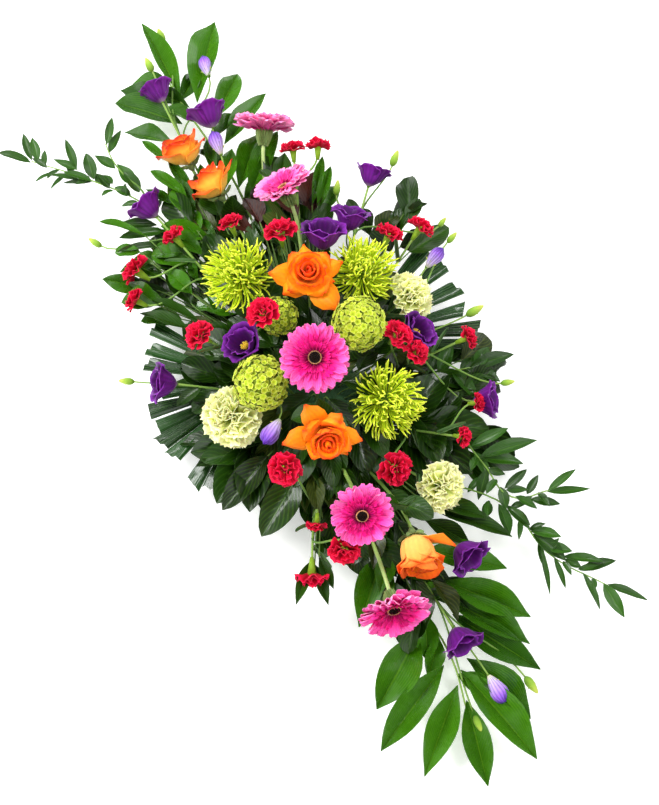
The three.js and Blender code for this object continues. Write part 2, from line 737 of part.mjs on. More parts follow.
const smallCarnation = (piece, at, across, face) => {
  const frame = stood(at, face);
  const wavy = (tier) => (side) => {
    const up = (side + tier) % 2;
    return { stretch: up ? SMALL.out : SMALL.in, rise: up ? SMALL.wave : -SMALL.wave };
  };
  const rows = [
    [0, -0.5],
    [0.12, -0.3],
    [0.5, -0.05, wavy(0)],
    [0.27, 0.02],
    [0.36, 0.14, wavy(1)],
    [0, 0.1],
  ].map(([r, z, rule]) => [r * across, z * across, rule]);
  fuse(piece, ruffled(rows, SMALL.sides).applyMatrix4(frame));
};

// A deep cup of broad petals, open by its lobes
const CUP = { sides: 10, out: 1.04, in: 0.94, up: 0.03, down: -0.07, stem: 1.7 };

const lisianthusCup = (piece, at, across, face) => {
  const lobed = (side) => ({
    stretch: side % 2 ? CUP.in : CUP.out,
    rise: (side % 2 ? CUP.down : CUP.up) * across,
  });
  const rows = [
    [0, -0.56],
    [0.31, -0.3],
    [0.5, 0, lobed],
    [0, -0.3],
  ].map(([r, z, rule]) => [r * across, z * across, rule]);
  fuse(piece, ruffled(rows, CUP.sides).applyMatrix4(stood(at, face)));
};

const BUD = { broad: 0.42, widest: [[0.45, 1]], held: 0.9 };

const closedBud = (piece, at, length, face) => {
  const broad = length * BUD.broad;
  const shape = blade({ length, width: broad, thick: broad, stations: BUD.widest });
  const foot = at.clone().addScaledVector(face, -length);
  fuse(piece, shape.applyMatrix4(laid(foot, face, sideways(face, 0))));
};

const smallBlooms = { carnation: smallCarnation, cup: lisianthusCup };
const neckOf = { carnation: 0.46, cup: 0.52 };

const branchedHeads = (name, kind, material, blooms) => {
  const piece = begin(name, material);
  const heads = blooms.map(([x, y, z, across]) => {
    const at = vec(x, y, z);
    return { at, across, face: outward(at) };
  });
  heads.forEach(({ at, across, face }) => smallBlooms[kind](piece, at, across, face));
  return { piece, heads, kind };
};

const strandedHeads = [];

const SHOOT_SHARE = 0.85;
const BUD_SHARE = 0.7;
const branchedStems = ({ piece, heads, kind }, buds, radius, leaf) => {
  const [first, ...others] = heads;
  const neck = (head) => head.at.clone().addScaledVector(head.face, -neckOf[kind] * head.across);
  const main = pushIn(piece, neck(first), first.face, radius);
  others.forEach((head) => {
    const shoot = branchOff(piece, main, neck(head), head.face, radius * SHOOT_SHARE);
    if (!shoot) strandedHeads.push([piece.name, head.at]);
  });
  buds.forEach(([x, y, z, length]) => {
    const at = vec(x, y, z);
    const face = outward(at);
    const foot = at.clone().addScaledVector(face, -length * BUD.held);
    const shoot = branchOff(piece, main, foot, face, radius * BUD_SHARE);
    if (shoot) closedBud(piece, at, length, face);
  });
  leavesRound(piece, main, leaf);
};

// Leafy sprigs
const LEAF_BEND = -14;
const SPRIG = { tries: 150, step: 3, lengthways: 2, low: 20, high: 60, large: 30, stout: 2, slim: 1.5 };
// Its leaves are tried at nine heights and seven places aside, and a little shorter each time
const SPRIG_LEAF = { heights: 9, places: 7, lift: 7, shift: 8, shrink: 0.005, broadest: 0.55, back: 0.8 };

const sprig = (name, { broad, route, leaves }, material) => {
  const piece = begin(name, material);
  const first = point(route[0]);
  const heart = heartOf(point(route[route.length - 1]));
  const draw = draws(route.length * 31 + broad);
  const large = broad > SPRIG.large;
  const radius = large ? SPRIG.stout : SPRIG.slim;
  const steps = large ? route.length + 3 : route.length * 3;
  let curve = null;
  for (let attempt = 0; attempt < SPRIG.tries && !curve; attempt += 1) {
    const spread = Math.sqrt(attempt) * SPRIG.step;
    const from = heart.clone().add(strayed(draw, spread, SPRIG.lengthways));
    from.z = clamp(from.z, SPRIG.low, SPRIG.high);
    const along = first.clone().sub(from).normalize();
    const swerved = (stop) => {
      const aside = (draw() - 0.5) * spread;
      return point(stop).add(vec(0, aside, (draw() - 0.5) * spread));
    };
    const way = route.map(swerved);
    const stops = [intoFoam(from, along), ...way];
    const tryCurve = new THREE.CatmullRomCurve3(stops, false, "centripetal");
    const geometry = rod(tryCurve, radius, steps);
    if (hasRoom(piece, geometry, true)) {
      curve = tryCurve;
      fuse(piece, geometry);
      stemFeet.push({ piece, geometry });
    }
  }
  if (!curve) {
    console.warn(`${name}: no clear way for its stem`);
    return;
  }
  const whole = curve.getLength();
  leaves.forEach((end, i) => {
    const tip = point(end);
    const near = nearestOn(curve, tip);
    const gap = curve.getPoint(near).distanceTo(tip);
    const mark = clamp(near - (SPRIG_LEAF.back * gap) / whole, 0.1, 0.985);
    const base = curve.getPoint(mark);
    const tries = SPRIG_LEAF.heights * SPRIG_LEAF.places;
    const clear = fuseWhereClear(piece, tries, (attempt) => {
      const lift = SPRIG_LEAF.lift * sway(attempt % SPRIG_LEAF.heights);
      const shift = SPRIG_LEAF.shift * sway(Math.floor(attempt / SPRIG_LEAF.heights));
      const side = vec(base.y - tip.y, tip.x - base.x, 0).normalize();
      const way = tip.clone().add(vec(0, 0, lift)).addScaledVector(side, shift).sub(base);
      const length = way.length() * (1 - SPRIG_LEAF.shrink * attempt);
      const shape = blade({
        length,
        width: Math.min(broad, length * SPRIG_LEAF.broadest),
        stations: OUTLINES[large ? "broad" : "oval"],
        bend: LEAF_BEND,
      });
      return shape.applyMatrix4(laid(base, way, vec(0, 0, 1), LEAF_BEND));
    });
    if (!clear) console.warn(`${name}: leaf ${i} has no room`);
  });
};

// Pleated fans of palm, cut straight across
const palm = (side, { point: at, heading, spread, reach, tilt }) => {
  const piece = begin(`palm_${side}`, looks.palm);
  const folds = PALM.pleats * 2;
  const flat = new THREE.BoxGeometry(1, 1, PALM.thick, folds, 1, 1);
  const fan = reshape(flat, (p) => {
    const across = p.x + 0.5;
    const fold = Math.round(across * folds);
    const angle = turn((0.5 - across) * spread);
    const straight = mix(reach[0], reach[1], across) / Math.max(Math.cos(angle * PALM.square), PALM.least);
    const far = straight - (fold % 2 ? 0 : PALM.trim);
    const out = p.y > 0 ? far : PALM.inner;
    const ridge = (fold % 2 ? 1 : -1) * PALM.ridge * out;
    return vec(out * Math.sin(-angle), out * Math.cos(angle), p.z + ridge);
  });
  const lay = new THREE.Matrix4()
    .makeTranslation(...at)
    .multiply(new THREE.Matrix4().makeRotationZ(turn(heading - 90)))
    .multiply(new THREE.Matrix4().makeRotationX(turn(tilt)));
  fuse(piece, fan.applyMatrix4(lay));
  const inward = vec(-Math.cos(turn(heading)), -Math.sin(turn(heading)), -PALM_STALK.dip).normalize();
  const stalk = new THREE.LineCurve3(
    point(at).addScaledVector(inward, PALM_STALK.behind + STEM_DEPTH),
    point(at).addScaledVector(inward, -PALM_STALK.under),
  );
  const geometry = rod(stalk, PALM_STALK.radius, PALM_STALK.steps);
  fuse(piece, geometry);
  stemFeet.push({ piece, geometry });
};

// The tray and the foam
const rounded = (length, width, corner) => {
  const shape = new THREE.Shape();
  const [x, y] = [length / 2 - corner, width / 2 - corner];
  shape.absarc(x, y, corner, 0, Math.PI / 2, false);
  shape.absarc(-x, y, corner, Math.PI / 2, Math.PI, false);
  shape.absarc(-x, -y, corner, Math.PI, 1.5 * Math.PI, false);
  shape.absarc(x, -y, corner, 1.5 * Math.PI, 2 * Math.PI, false);
  return shape;
};

const slab = (length, width, corner, from, to) =>
  new THREE.ExtrudeGeometry(rounded(length, width, corner), {
    depth: to - from,
    bevelEnabled: false,
    curveSegments: 2,
  }).translate(0, 0, from);

const makeTray = () => {
  const piece = begin("tray", looks.tray);
  const room = 2 * SEAT_GAP;
  const outer = 2 * TRAY.wall + room;
  const body = solidFrom(slab(FOAM.length + outer, FOAM.width + outer, TRAY.corner, 0, TRAY.height));
  const edge = outer + 2 * TRAY.rim;
  const [long, wide] = [FOAM.length + edge, FOAM.width + edge];
  const lip = TRAY.height - TRAY.lip;
  const rim = solidFrom(slab(long, wide, TRAY.corner + TRAY.rim, lip, TRAY.height));
  const inside = slab(FOAM.length + room, FOAM.width + room, FOAM.corner, TRAY.floor, TRAY.height + 1);
  piece.solids.push(body.add(rim).subtract(solidFrom(inside)));
  const box = boxOf(slab(long, wide, 1, 0, TRAY.height));
  taken.push({ piece, solid: piece.solids[0], box });
};

const makeFoam = () => {
  const piece = begin("foam", looks.foam);
  fuse(piece, slab(FOAM.length, FOAM.width, FOAM.corner, foamBase, foamTop));
  return piece;
};

// Each stem stands in a plain hole a little wider than itself.
const pierce = (foam) => {
  const holes = stemFeet.map(({ geometry }) => solidFrom(swollen(geometry, HOLE_EASE)));
  foam.solids = [holes.reduce((left, hole) => left.subtract(hole), foam.solids[0])];
};

// The largest body of a solid, as a mesh in its own frame.
const meshOf = ({ name, material, frame, solids }) => {
  const joined = solids.reduce((sum, next) => sum.add(next));
  const bodies = joined.decompose().sort((a, b) => b.volume() - a.volume());
  const { numProp, vertProperties, triVerts } = bodies[0].getMesh();
  const geometry = new THREE.BufferGeometry();
  geometry.setAttribute("position", new THREE.BufferAttribute(Float32Array.from(vertProperties), numProp));
  geometry.setIndex(new THREE.BufferAttribute(Uint32Array.from(triVerts), 1));
  geometry.applyMatrix4(frame.clone().invert());
  const mesh = new THREE.Mesh(geometry, material);
  mesh.name = name;
  frame.decompose(mesh.position, mesh.quaternion, mesh.scale);
  return mesh;
};

// Putting it together: the blooms take their places first, then their stems, then the leaves between them.
makeTray();
const foam = makeFoam();
GERBERAS.forEach((bloom, i) => gerberaHead(bloom, i + 1));
ROSES.forEach((bloom, i) => roseHead(bloom, i + 1));
VIBURNUMS.forEach((bloom, i) => viburnumHead(bloom, i + 1));
CHRYSANTHEMUMS.forEach((bloom, i) => chrysanthemumHead(bloom, i + 1));
const carnations = CARNATIONS.map((bloom, i) => carnation(bloom, i + 1));
const sprays = Object.entries(SPRAY_CARNATIONS).map(([place, blooms]) =>
  branchedHeads(`spray_carnation_${place}`, "carnation", looks.sprayCarnation, blooms),
);
const cups = Object.entries(LISIANTHUS).map(([place, blooms]) => ({
  place,
  ...branchedHeads(`lisianthus_${place}`, "cup", looks.lisianthus, blooms),
}));
Object.entries(PALMS).forEach(([side, fan]) => palm(side, fan));
GERBERAS.forEach((bloom, i) => gerberaStem(bloom, i + 1));
const roseStems = ROSES.map((bloom, i) => roseStem(bloom, i + 1));
const viburnumStems = VIBURNUMS.map((bloom, i) => viburnumStem(bloom, i + 1));
const chrysanthemumStems = CHRYSANTHEMUMS.map((bloom, i) => chrysanthemumStem(bloom, i + 1));
carnations.forEach((bloom) => carnationStem(bloom));
const narrowLeaf = { from: 0.55, to: 0.78, count: 2, length: 48, width: 6, outline: "strap", bend: -50 };
const cupLeaf = { from: 0.5, to: 0.75, count: 2, length: 42, width: 18, outline: "oval", spread: 50 };
sprays.forEach((spray) => branchedStems(spray, [], SMALL.stem, narrowLeaf));
cups.forEach((spray) => branchedStems(spray, LISIANTHUS_BUDS[spray.place], CUP.stem, cupLeaf));
Object.entries(SPRIGS).forEach(([name, plan]) => sprig(name, plan, looks[plan.look]));
const roseLeaf = { from: 0.64, to: 0.86, count: 3, length: 50, width: 30, outline: "leaflet" };
const chrysanthemumLeaf = { from: 0.55, to: 0.8, count: 3, length: 60, width: 34, outline: "lobed" };
const viburnumLeaf = { from: 0.55, to: 0.8, count: 3, length: 52, width: 36, outline: "leaflet" };
roseStems.forEach(({ piece, curve }) => leavesRound(piece, curve, roseLeaf));
chrysanthemumStems.forEach(({ piece, curve }) => leavesRound(piece, curve, chrysanthemumLeaf));
viburnumStems.forEach(({ piece, curve }) => leavesRound(piece, curve, viburnumLeaf));
pierce(foam);

const root = new THREE.Group();
pieces.filter((piece) => piece.solids.length).forEach((piece) => root.add(meshOf(piece)));
strandedHeads.forEach(([name, at]) => console.warn(`${name}: bloom at ${at.toArray()} has no stem`));

export default root;
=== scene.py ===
"""The looks of a double-ended funeral arrangement: cut flowers and leaves in a tray of wet foam.

Lengths in the tables are in millimetres, as in the part, and MM turns them into metres.
"""
import random
from math import atan2, cos, pi, radians, sin, sqrt

import bmesh
import bpy
from mathutils import Matrix, Vector


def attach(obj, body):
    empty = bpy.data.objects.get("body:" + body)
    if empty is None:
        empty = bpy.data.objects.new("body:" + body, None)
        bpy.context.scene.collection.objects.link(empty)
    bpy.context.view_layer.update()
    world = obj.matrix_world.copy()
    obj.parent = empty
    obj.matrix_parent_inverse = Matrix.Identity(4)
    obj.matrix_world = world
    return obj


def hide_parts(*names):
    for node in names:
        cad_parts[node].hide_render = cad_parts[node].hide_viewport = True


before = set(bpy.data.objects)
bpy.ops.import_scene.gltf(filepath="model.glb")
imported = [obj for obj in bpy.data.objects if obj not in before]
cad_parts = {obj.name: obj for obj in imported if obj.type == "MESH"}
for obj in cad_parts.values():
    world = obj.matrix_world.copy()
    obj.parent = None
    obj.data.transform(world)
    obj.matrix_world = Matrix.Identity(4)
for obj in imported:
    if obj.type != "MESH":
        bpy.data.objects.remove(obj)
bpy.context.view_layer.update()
MM = 0.001


# Studio. A plain pale floor lit a little from below, so that shadows stay faint, one strong soft
# light from the upper left, a smaller one high on the right that puts streaks of shine on the
# leaves, and four wide panels low round the spray.
FLOOR_REACH, FLOOR_SHADE, FLOOR_GLOW, SKY_GLOW = 8, 0.93, 0.32, 0.38
LIGHTS = (
    # name, place and size in metres, power in watts
    ("key_light", (-1.2, -1.3, 2.8), 1.3, 100),
    ("shine_light", (0.55, 0.75, 2.85), 0.6, 24),
    ("left_panel", (-0.3, -2.9, 1.7), 2.2, 42),
    ("right_panel", (0.3, 2.9, 1.7), 2.2, 42),
    ("far_panel", (-3.0, 0.2, 1.7), 2.2, 42),
    ("near_panel", (3.0, -0.2, 1.7), 2.2, 42),
)
TARGET = Vector((5, 15, 55)) * MM
TURN, LIFT, DISTANCE = radians(70.5), radians(70), 2.6
FOCAL_PIXELS, FRAME_HEIGHT, SENSOR = 2000, 805, 36


def new_finish(name):
    """A new finish, and the shader that its nodes feed."""
    made = bpy.data.materials.new(name)
    made.use_nodes = True
    return made, made.node_tree.nodes["Principled BSDF"]


def feed(socket, value):
    """Gives an input its value, or joins it to the output of another node."""
    if isinstance(value, bpy.types.NodeSocket):
        socket.id_data.links.new(value, socket)
    else:
        socket.default_value = value


def fed(node, **inputs):
    for name, value in inputs.items():
        feed(node.inputs[name.replace("_", " ")], value)
    return node


def step(shader, kind, **inputs):
    return fed(shader.id_data.nodes.new("ShaderNode" + kind), **inputs)


def pattern(shader, kind, scale, output="Fac", **more):
    """Noise or pores on the piece's own coordinates."""
    place = step(shader, "TexCoord").outputs["Object"]
    return step(shader, kind, Vector=place, Scale=scale, **more).outputs[output]


def toned(shader, mark, tones):
    """Colours that run into each other, each at its own mark from 0 to 1."""
    ramp = step(shader, "ValToRGB", Fac=mark)
    stops = ramp.color_ramp.elements
    while len(stops) < len(tones):
        stops.new(0.5)
    for stop, (place, colour) in zip(stops, tones):
        stop.position, stop.color = place, colour
    return ramp.outputs["Color"]


def kept(name, bm):
    mesh = bpy.data.meshes.new(name)
    bm.to_mesh(mesh)
    bm.free()
    return mesh


def placed(name, data):
    made = bpy.data.objects.new(name, data)
    bpy.context.scene.collection.objects.link(made)
    return made


def aimed(name, data, place, way):
    """Sets up a light or the camera, pointing along a direction."""
    holder = placed(name, data)
    holder.location, holder.rotation_mode = place, "QUATERNION"
    holder.rotation_quaternion = way.to_track_quat("-Z", "Y")
    return holder


def as_piece(bm, name, *finishes):
    mesh = kept(name, bm)
    mesh.shade_smooth()
    for finish in finishes:
        mesh.materials.append(finish)
    return placed(name, mesh)


floor_paper, shader = new_finish("floor_paper")
paper = toned(
    shader, pattern(shader, "TexNoise", 3),
    [(mark, (*[FLOOR_SHADE * share] * 3, 1)) for mark, share in enumerate((0.99, 1))],
)
fed(shader, Base_Color=paper, Emission_Color=paper, Emission_Strength=FLOOR_GLOW, Roughness=0.9)
bm = bmesh.new()
bmesh.ops.create_grid(bm, x_segments=1, y_segments=1, size=FLOOR_REACH)
floor = as_piece(bm, "studio_floor", floor_paper)

sky = bpy.data.worlds.new("studio_sky")
sky.use_nodes = True
fed(sky.node_tree.nodes["Background"], Color=(1, 1, 1, 1), Strength=SKY_GLOW)
bpy.context.scene.world = sky

for name, place, size, power in LIGHTS:
    lamp = bpy.data.lights.new(name, "AREA")
    lamp.energy, lamp.size = power, size
    aimed(name, lamp, place, TARGET - Vector(place))

back = Vector((sin(TURN) * cos(LIFT), -cos(TURN) * cos(LIFT), sin(LIFT)))
lens = bpy.data.cameras.new("camera")
lens.sensor_width, lens.lens = SENSOR, FOCAL_PIXELS / FRAME_HEIGHT * SENSOR
lens.clip_start, lens.clip_end = 0.05, 30
camera = aimed("camera", lens, TARGET + back * DISTANCE, -back)
bpy.context.scene.camera = camera
bpy.context.scene.view_settings.view_transform = "Standard"


# Tray. A shallow dish of dark green moulded plastic that the foam sits in and the spray rests on.
# Its CAD node has the right shape, so only the finish is new: fine moulding grain, soft gloss.
def paint(hex_code):
    channels = [int(hex_code[i:i + 2], 16) / 255 for i in (0, 2, 4)]
    return (*[c / 12.92 if c < 0.04045 else ((c + 0.055) / 1.055) ** 2.4 for c in channels], 1)


def bumped(shader, height, strength, depth):
    """Raises the surface where the height is great, by up to a depth in millimetres."""
    bump = step(shader, "Bump", Height=height, Strength=strength, Distance=depth * MM)
    fed(shader, Normal=bump.outputs["Normal"])


def mottled_finish(name, dark, light, scale, roughness):
    """A matt finish that wanders between two tones."""
    made, shader = new_finish(name)
    tones = toned(shader, pattern(shader, "TexNoise", scale), ((0, paint(dark)), (1, paint(light))))
    fed(shader, Base_Color=tones, Roughness=roughness)
    return made, shader


tray_plastic, shader = mottled_finish("tray_plastic", "1b2d20", "24402c", 40, 0.42)
bumped(shader, pattern(shader, "TexNoise", 900), 0.15, 0.2)
tray_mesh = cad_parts["tray"].data
tray_mesh.materials.clear()
tray_mesh.materials.append(tray_plastic)


# Foam. A brick of green wet flower foam, cut with a knife, with crumbling edges and fine pores.
# It stands in the tray, and every stem is pushed into it.
FOAM_SIZE, FOAM_BASE, FOAM_CORNER, CRUMB = (230, 110, 80), 3.3, 6, 0.9
LONG_EDGE = 30

foam_finish, shader = mottled_finish("wet_foam", "23402a", "3f6b3c", 30, 0.95)
bumped(shader, pattern(shader, "TexVoronoi", 420, "Distance"), 0.7, 0.8)

bm = bmesh.new()
bmesh.ops.create_cube(bm, size=1)
bmesh.ops.scale(bm, vec=[side * MM for side in FOAM_SIZE], verts=bm.verts[:])
bmesh.ops.bevel(
    bm, geom=bm.edges[:], offset=FOAM_CORNER * MM, segments=3, profile=0.5, affect="EDGES", material=-1,
)
long_edges = [edge for edge in bm.edges if edge.calc_length() > LONG_EDGE * MM]
bmesh.ops.subdivide_edges(bm, edges=long_edges, cuts=9, use_grid_fill=True)
draw = random.Random(3)
crumb = {v.index: draw.uniform(-CRUMB, 0) * MM for v in bm.verts}
for v in bm.verts:
    v.co += v.normal * crumb[v.index]
bmesh.ops.translate(bm, vec=Vector((0, 0, FOAM_BASE + FOAM_SIZE[2] / 2)) * MM, verts=bm.verts[:])
foam = as_piece(bm, "foam_block", foam_finish)
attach(foam, "root")
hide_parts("foam")


# Gerbera heads. Hot pink rays in three layers, darker towards the middle, then a thin ring of pale
# yellow florets round a near-black button. Each head sits on the cup of its own stem.
GERBERAS = (
    # middle, width across, heading and rise of its face, lift of its rays, kind
    ((11, -6, 250), 90, (-20, 75), 12, "hot"),
    ((203, -13, 190), 82, (-14, 52), 14, "hot"),
    ((315, -10, 130), 96, (-7, 18), 20, "hot"),
    ((-253, 41, 185), 86, (-163, 47), 26, "light"),
    ((-376, 59, 125), 88, (156, 17), 18, "light"),
)
GERBERA_HEIGHT = 17
RAY_LAYERS = (
    # count, out from the axis, up from the seat, extra lift, length and width as shares of the width across
    (24, 0.06, 5.5, 0, 0.44, 0.152), (22, 0.07, 8.0, 3, 0.415, 0.142),
    (30, 0.09, 9.5, 9, 0.25, 0.072), (34, 0.10, 10.0, 22, 0.14, 0.042),
)
FLORET_RINGS = (
    # count, out, up, lift and length; the last three stand on the button
    (40, 0.088, 10.5, 62, 0.052), (34, 0.072, 11.5, 70, 0.045), (26, 0.053, 12.5, 78, 0.036),
    (18, 0.034, 12.8, 84, 0.03), (9, 0.014, 12.8, 88, 0.028),
)
FLORET_WIDTH, SUNK, SHORTENED, SIDEWAYS = 0.014, 2, 0.6, 50
LAYERS = ("along", "across", "tint")


def facing(heading, rise):
    heading, rise = radians(heading), radians(rise)
    return Vector((cos(rise) * cos(heading), cos(rise) * sin(heading), sin(rise)))


def stand(at, along, spin=0.0):
    """The place of a bloom whose axis points along a direction."""
    lean = Vector((0, 0, 1)).rotation_difference(along).to_matrix().to_4x4()
    return Matrix.Translation(at) @ lean @ Matrix.Rotation(spin, 4, "Z")


def eased(low, high, mark):
    share = min(max((mark - low) / (high - low), 0), 1)
    return share * share * (3 - 2 * share)


def layered(bm):
    """Lets each point say how far along and across its petal it lies, and the tint of that petal."""
    for layer in LAYERS:
        if layer not in bm.verts.layers.float:
            bm.verts.layers.float.new(layer)
    return bm


def new_grid(cells):
    """A flat square grid of side one, with its layers."""
    bm = layered(bmesh.new())
    bmesh.ops.create_grid(bm, x_segments=cells[0], y_segments=cells[1], size=0.5)
    return bm, bm.verts.layers.float["along"], bm.verts.layers.float["across"]


def sharpened(bm, angle=0.9):
    for edge in bm.edges:
        if edge.is_manifold and edge.calc_face_angle() > angle:
            edge.smooth = False
    return bm


def thickened(bm, thick):
    """Turns an open sheet into a closed thin body. Its face keeps finish 0, and the rest takes finish 1."""
    bm.normal_update()
    top = bm.faces[:]
    made = bmesh.ops.extrude_face_region(bm, geom=top, use_keep_orig=True)
    for part in made["geom"]:
        if isinstance(part, bmesh.types.BMVert):
            part.co -= part.normal * thick
    bmesh.ops.recalc_face_normals(bm, faces=bm.faces[:])
    for face in bm.faces:
        face.material_index = 1
    for face in top:
        face.material_index = 0
    return bm


def petal_sheet(name, outline, lift, bend=0.0, cells=(4, 7), thick=0.012, edge=None):
    """A petal or leaf along +Y with its face up: a grid drawn in to its outline, cupped and bent."""
    bm, along, across = new_grid(cells)
    arc = radians(bend) or 1e-4
    for v in bm.verts:
        side, run = 2 * v.co.x, v.co.y + 0.5
        v[along], v[across] = run, side
        sweep, rise = arc * (run + (edge(side) * run ** 4 if edge else 0)), lift(side, run)
        y = 1 / arc * sin(sweep) - rise * sin(sweep)
        z = 1 / arc * (1 - cos(sweep)) + rise * cos(sweep)
        v.co = (side * outline(run) / 2, y, z)
    bmesh.ops.remove_doubles(bm, verts=bm.verts[:], dist=2e-3)
    return kept(name, sharpened(thickened(bm, thick)))


def set_in(bm, sheet, matrix, tint=0.5, top=0, under=None):
    """Joins a copy of a sheet to a bloom, with its own tint and finishes."""
    copy = sheet.copy()
    copy.transform(matrix)
    copy.attributes["tint"].data.foreach_set("value", [tint] * len(copy.vertices))
    for face in copy.polygons:
        face.material_index = top if face.material_index == 0 or under is None else under
    bm.from_mesh(copy)
    bpy.data.meshes.remove(copy)


def finished(made, slot):
    """Gives a shape that an operator has just made its finish."""
    for v in made["verts"]:
        for face in v.link_faces:
            face.material_index = slot


def cone(bm, place, foot, rim, depth, middle, sides, slot):
    """A round piece about the axis of a bloom, wider or narrower at its rim than at its foot."""
    finished(bmesh.ops.create_cone(
        bm, cap_ends=True, segments=sides, radius1=foot, radius2=rim, depth=depth,
        matrix=place @ Matrix.Translation((0, 0, middle)),
    ), slot)


def spoke(angle, out, up, lift, twist=0.0, size=(1, 1, 1)):
    """The place of a petal that stands out from the axis of its bloom."""
    turn = Matrix.Rotation(angle, 4, "Z") @ Matrix.Translation((0, out, up))
    tilt = Matrix.Rotation(radians(lift), 4, "X") @ Matrix.Rotation(radians(twist), 4, "Y")
    return turn @ tilt @ Matrix.Diagonal((*size, 1))


def marked(shader, layer):
    source = step(shader, "Attribute")
    source.attribute_name = layer
    return source.outputs["Fac"]


def counted(shader, operation, *values):
    """A number worked out for each spot of the surface."""
    result = step(shader, "Math")
    result.operation = operation
    for socket, value in zip(result.inputs, values):
        feed(socket, value)
    return result.outputs[0]


def petal_finish(name, tones, streaks=9.0, streak=0.12, roughness=0.5, sheen=0.04, glow=0.1):
    """Colour from root to tip, fine streaks along the petal, soft mottling and a velvet surface."""
    made, shader = new_finish(name)
    colour = toned(shader, marked(shader, "along"), [(mark, paint(code)) for mark, code in tones])
    wave = counted(shader, "SINE", counted(shader, "MULTIPLY", marked(shader, "across"), streaks * pi))
    veined = counted(shader, "MULTIPLY_ADD", wave, streak, -0.17)
    mottle = pattern(shader, "TexNoise", 260, Detail=3)
    fleck = counted(shader, "MULTIPLY_ADD", mottle, 0.35, veined)
    vary = step(shader, "MapRange", To_Min=0.78, To_Max=1.22, Value=marked(shader, "tint"))
    bright = counted(shader, "ADD", vary.outputs["Result"], fleck)
    shade = step(shader, "HueSaturation", Color=colour, Value=bright)
    bumped(shader, fleck, 0.35, 0.4)
    fed(
        shader, Base_Color=shade.outputs["Color"], Roughness=roughness, Specular_IOR_Level=0.14,
        Sheen_Weight=sheen, Subsurface_Weight=glow, Subsurface_Scale=3 * MM,
    )
    return made


def ray_outline(run):
    return (0.45 + 0.55 * eased(0, 0.55, run)) * (1 - 0.46 * max(0, (run - 0.84) / 0.16) ** 2.4)


GERBERA_TONES = {
    "ray_hot": ((0, "94004a"), (0.36, "d8066a"), (0.58, "ee3096"), (1, "fa6cba")),
    "ray_light": ((0, "b8146a"), (0.34, "e03892"), (0.6, "f668b2"), (1, "ffa0d6")),
    "inner_ray_hot": ((0, "780040"), (0.5, "c00060"), (1, "ea1686")),
    "inner_ray_light": ((0, "a00c58"), (0.5, "d82480"), (1, "f050a4")),
    "ray_back": ((0, "c03a80"), (0.6, "e868aa"), (1, "f89ccc")),
}
gerbera_finish = {
    kind: petal_finish(f"gerbera_{kind}", tones, streaks=5) for kind, tones in GERBERA_TONES.items()
}
floret_finish = petal_finish("gerbera_floret", ((0, "a44828"), (0.6, "dc8c5a"), (1, "f0bc88")), streaks=1)
button_finish = petal_finish(
    "gerbera_button", ((0, "040202"), (0.7, "120705"), (1, "2c140a")), 1, 0.1, 0.85, 0.05,
)

rays = [
    petal_sheet(
        f"ray_{i}", ray_outline, lambda s, t, c=cup: c * s * s + 0.05 * sin(3 * pi * t) * s,
        bend=arc, cells=(4, 9), thick=0.011, edge=lambda s: -0.07 * s * s - 0.014 * cos(2 * pi * s),
    )
    for i, (cup, arc) in enumerate(((0.06, -14), (0.12, -5), (-0.05, -20)))
]
nib = petal_sheet(
    "nib", lambda t: 0.7 + 0.3 * sin(pi * t), lambda s, t: 0.25 * s * s, bend=55, cells=(2, 3), thick=0.05,
)

for number, (at, across, faces, rise, kind) in enumerate(GERBERAS, 1):
    face = facing(*faces)
    head = stand(Vector(at) * MM - face * GERBERA_HEIGHT * MM, face, number)
    across *= MM
    draw = random.Random(number)
    bm = layered(bmesh.new())
    for layer, (count, out, up, lift, long, wide) in enumerate(RAY_LAYERS):
        top, under = (0, 1) if layer < 2 else (2, 2)
        for i in range(count):
            angle = 2 * pi * (i + draw.uniform(-0.16, 0.16)) / count
            size = across * long * draw.uniform(0.93, 1.0)
            place = spoke(
                angle, out * across, up * MM, rise + lift + draw.uniform(-3, 3), draw.uniform(-7, 7),
                (across * wide * draw.uniform(0.9, 1.1), size, size),
            )
            set_in(bm, rays[draw.randrange(3)], head @ place, draw.random(), top, under)
    # The button of a light head is pale, and that of a head that looks sideways lies deeper
    button = 3 if kind == "light" else 4
    sunk = 0 if faces[1] > SIDEWAYS else SUNK
    for ring, (count, out, up, lift, long) in enumerate(FLORET_RINGS):
        long *= SHORTENED if sunk and ring > 1 else 1
        size = (across * FLORET_WIDTH, across * long, across * long)
        slot = button if ring else 3
        for i in range(count):
            angle = 2 * pi * (i + 0.5 * ring) / count
            place = spoke(angle, out * across, (up - sunk) * MM, lift, 0, size)
            set_in(bm, nib, head @ place, draw.random(), slot, slot)
    for low, high, foot, depth, slot in (
        (0.07, 0.09, 0.5, 7 - sunk, 1), (0.09, 0.096, 7.5 - sunk, 5, button),
    ):
        cone(bm, head, across * low, across * high, depth * MM, (foot + depth / 2) * MM, 28, slot)
    bloom = as_piece(
        bm, f"gerbera_{number}_bloom", gerbera_finish[f"ray_{kind}"], gerbera_finish["ray_back"],
        gerbera_finish[f"inner_ray_{kind}"], floret_finish, button_finish,
    )
    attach(bloom, "root")
    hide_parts(f"gerbera_{number}_head")


